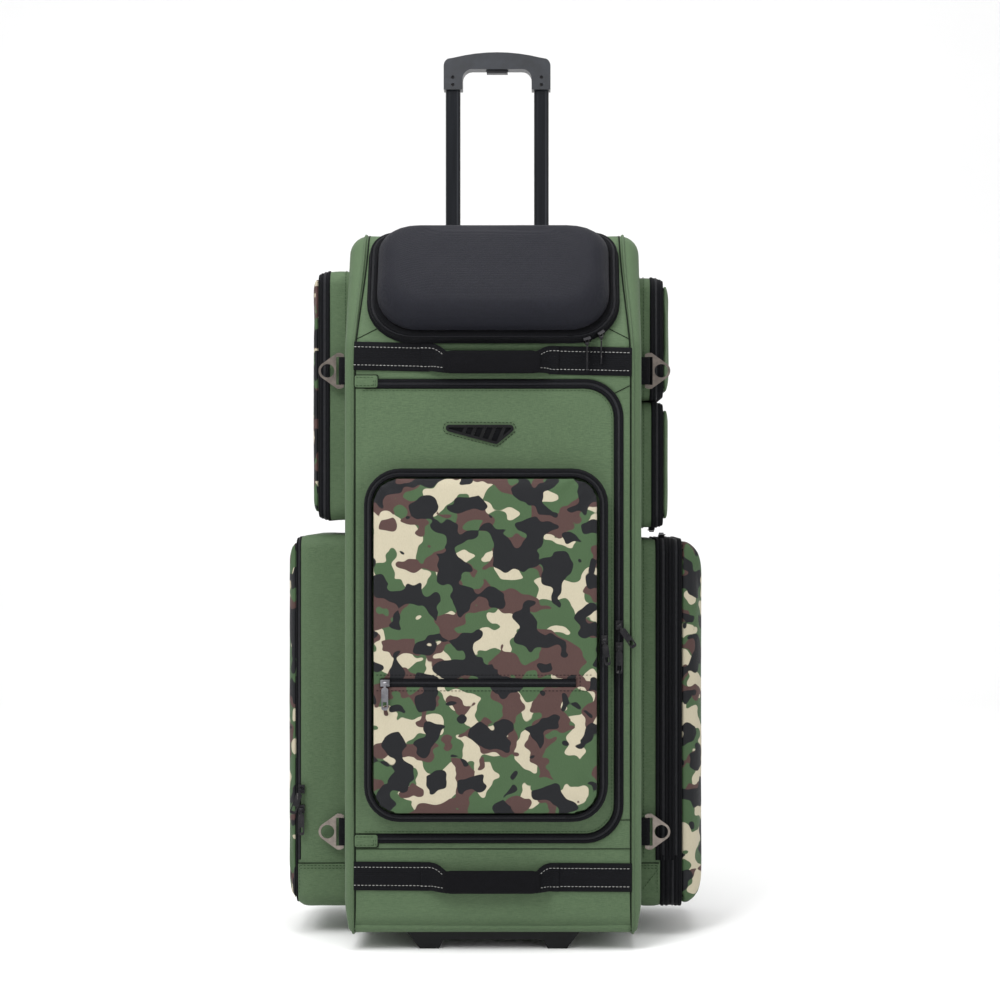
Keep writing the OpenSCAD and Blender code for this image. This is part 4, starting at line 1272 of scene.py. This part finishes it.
def ring_loops():
    for side in (-1, 1):
        for label in ("upper", "lower"):
            lo, hi = box_mm(f"ring_{label}_{LABEL[side]}")
            z, y = (lo[2] + hi[2]) / 2, (lo[1] + hi[1]) / 2
            path = [(side * d, y - 3.4) for d in (SIDE - 1, SIDE + 4, 208)]
            path += [(side * 212 + side * 3.9 * math.cos(a), y + 3.4 * math.sin(a))
                     for a in np.radians(np.linspace(-90, 90, 9))]
            path += [(side * d, y + 3.4) for d in (208, SIDE + 4, SIDE - 1)]
            path = cols(resample(np.array(path), 1.5), z)
            out = np.cross(np.gradient(path, axis=0), (0, 0, 1.0)) * side
            prof = [(-19, -0.8), (-19, 0.4), (-18, 0.8), (0, 0.85), (18, 0.8), (19, 0.4), (19, -0.8)]
            first = ["ring_loops"] if (side, label) == (-1, "upper") else ()
            face_out(sweep(f"{label}_{LABEL[side]}_ring_loop", path, out, prof, WEBBING, "bag",
                           close_profile=True, replaces=first))


ring_loops()


# ---------- hard parts from the frame ----------

def dress(mat, names, bevel=0.0, segments=3):
    for name in names:
        node = NODES[name]
        node.data.materials.clear()
        node.data.materials.append(mat)
        if bevel:
            m = node.modifiers.new("soft_edges", "BEVEL")
            m.width = bevel * MM
            m.segments = segments
            m.limit_method = "ANGLE"
            m.angle_limit = math.radians(40)


dress(TUBE, ["outer_tubes", "inner_tubes"])
dress(GRIP_PLASTIC, ["handle_grip"], 2.5, 4)
dress(BUTTON_PLASTIC, ["release_button"], 0.8)
dress(STEEL, ["push_rods", "axles"])
dress(PULL_METAL, ["grip_screws"])
dress(BLACK_PLASTIC, ["tube_bezel", "foot_skid"], 1.6)
dress(BLACK_PLASTIC, ["wheel_base"], 1.0)
dress(BLACK_PLASTIC, ["vent_grille"], 0.5)
dress(RUBBER, ["left_tyre", "right_tyre"], 1.5)
dress(HUB_PLASTIC, ["left_hub", "right_hub"], 0.8)
dress(GUNMETAL, ["ring_upper_left", "ring_upper_right", "ring_lower_left", "ring_lower_right"], 0.7)
dress(GREY_METAL, ["slit_slider", "slit_pull"], 0.35)
dress(PULL_METAL, ["zip_sliders", "flap_slider_upper", "flap_pull_upper", "flap_slider_lower",
                   "flap_pull_lower", "box_slider", "box_pull", "case_pull_left", "case_pull_right",
                   "left_lower_pull_upper", "left_lower_pull_lower"], 0.35)


# ---------- studio ----------

def stage():
    s = Shader("pale_floor", Specular_IOR_Level=0.2)
    s.colour(s.ramp(s.noise(2.0), [(0.3, (0.93, 0.93, 0.93)), (0.7, (0.95, 0.95, 0.95))]))
    s.rough(s.noise(3.0), 0.75, 0.85)
    reach = 14000
    section = [(-reach, 0), (2200, 0), (2900, 60), (3400, 300), (3700, 800), (3800, 4000)]
    pts = [[x, y, z] for y, z in section for x in (-reach, reach)]
    floor = add("studio_floor", pts, grid_faces(len(section), 2), s.mat, None)
    scene = bpy.context.scene
    world = bpy.data.worlds.new("studio")
    scene.world = world
    world.use_nodes = True
    world.node_tree.nodes["Background"].inputs[0].default_value = (1, 1, 1, 1)
    world.node_tree.nodes["Background"].inputs[1].default_value = 0.68
    for name, at, size, power, aim in (("key", (-1.4, -2.4, 2.9), 1.6, 84, (0, 0, 0.6)),
                                       ("fill", (2.4, -2.2, 1.2), 2.0, 18, (0, 0, 0.6)),
                                       ("top", (0, -0.5, 3.2), 2.0, 60, (0, 0, 0.5))):
        light = bpy.data.lights.new(name, "AREA")
        light.size = size
        light.energy = power
        obj = bpy.data.objects.new(name, light)
        obj.location = at
        obj.rotation_euler = (Vector(aim) - Vector(at)).to_track_quat("-Z", "Y").to_euler()
        scene.collection.objects.link(obj)
    cam = bpy.data.cameras.new("camera")
    cam.lens = 80
    cam.sensor_width = 36
    cam.shift_x = -0.0407
    eye = bpy.data.objects.new("camera", cam)
    eye.location = (0.0645, FRONT * MM - 3.0, 0.61)
    eye.rotation_euler = (math.pi / 2, 0, 0)
    scene.collection.objects.link(eye)
    scene.camera = eye
    scene.view_settings.view_transform = "Standard"


stage()
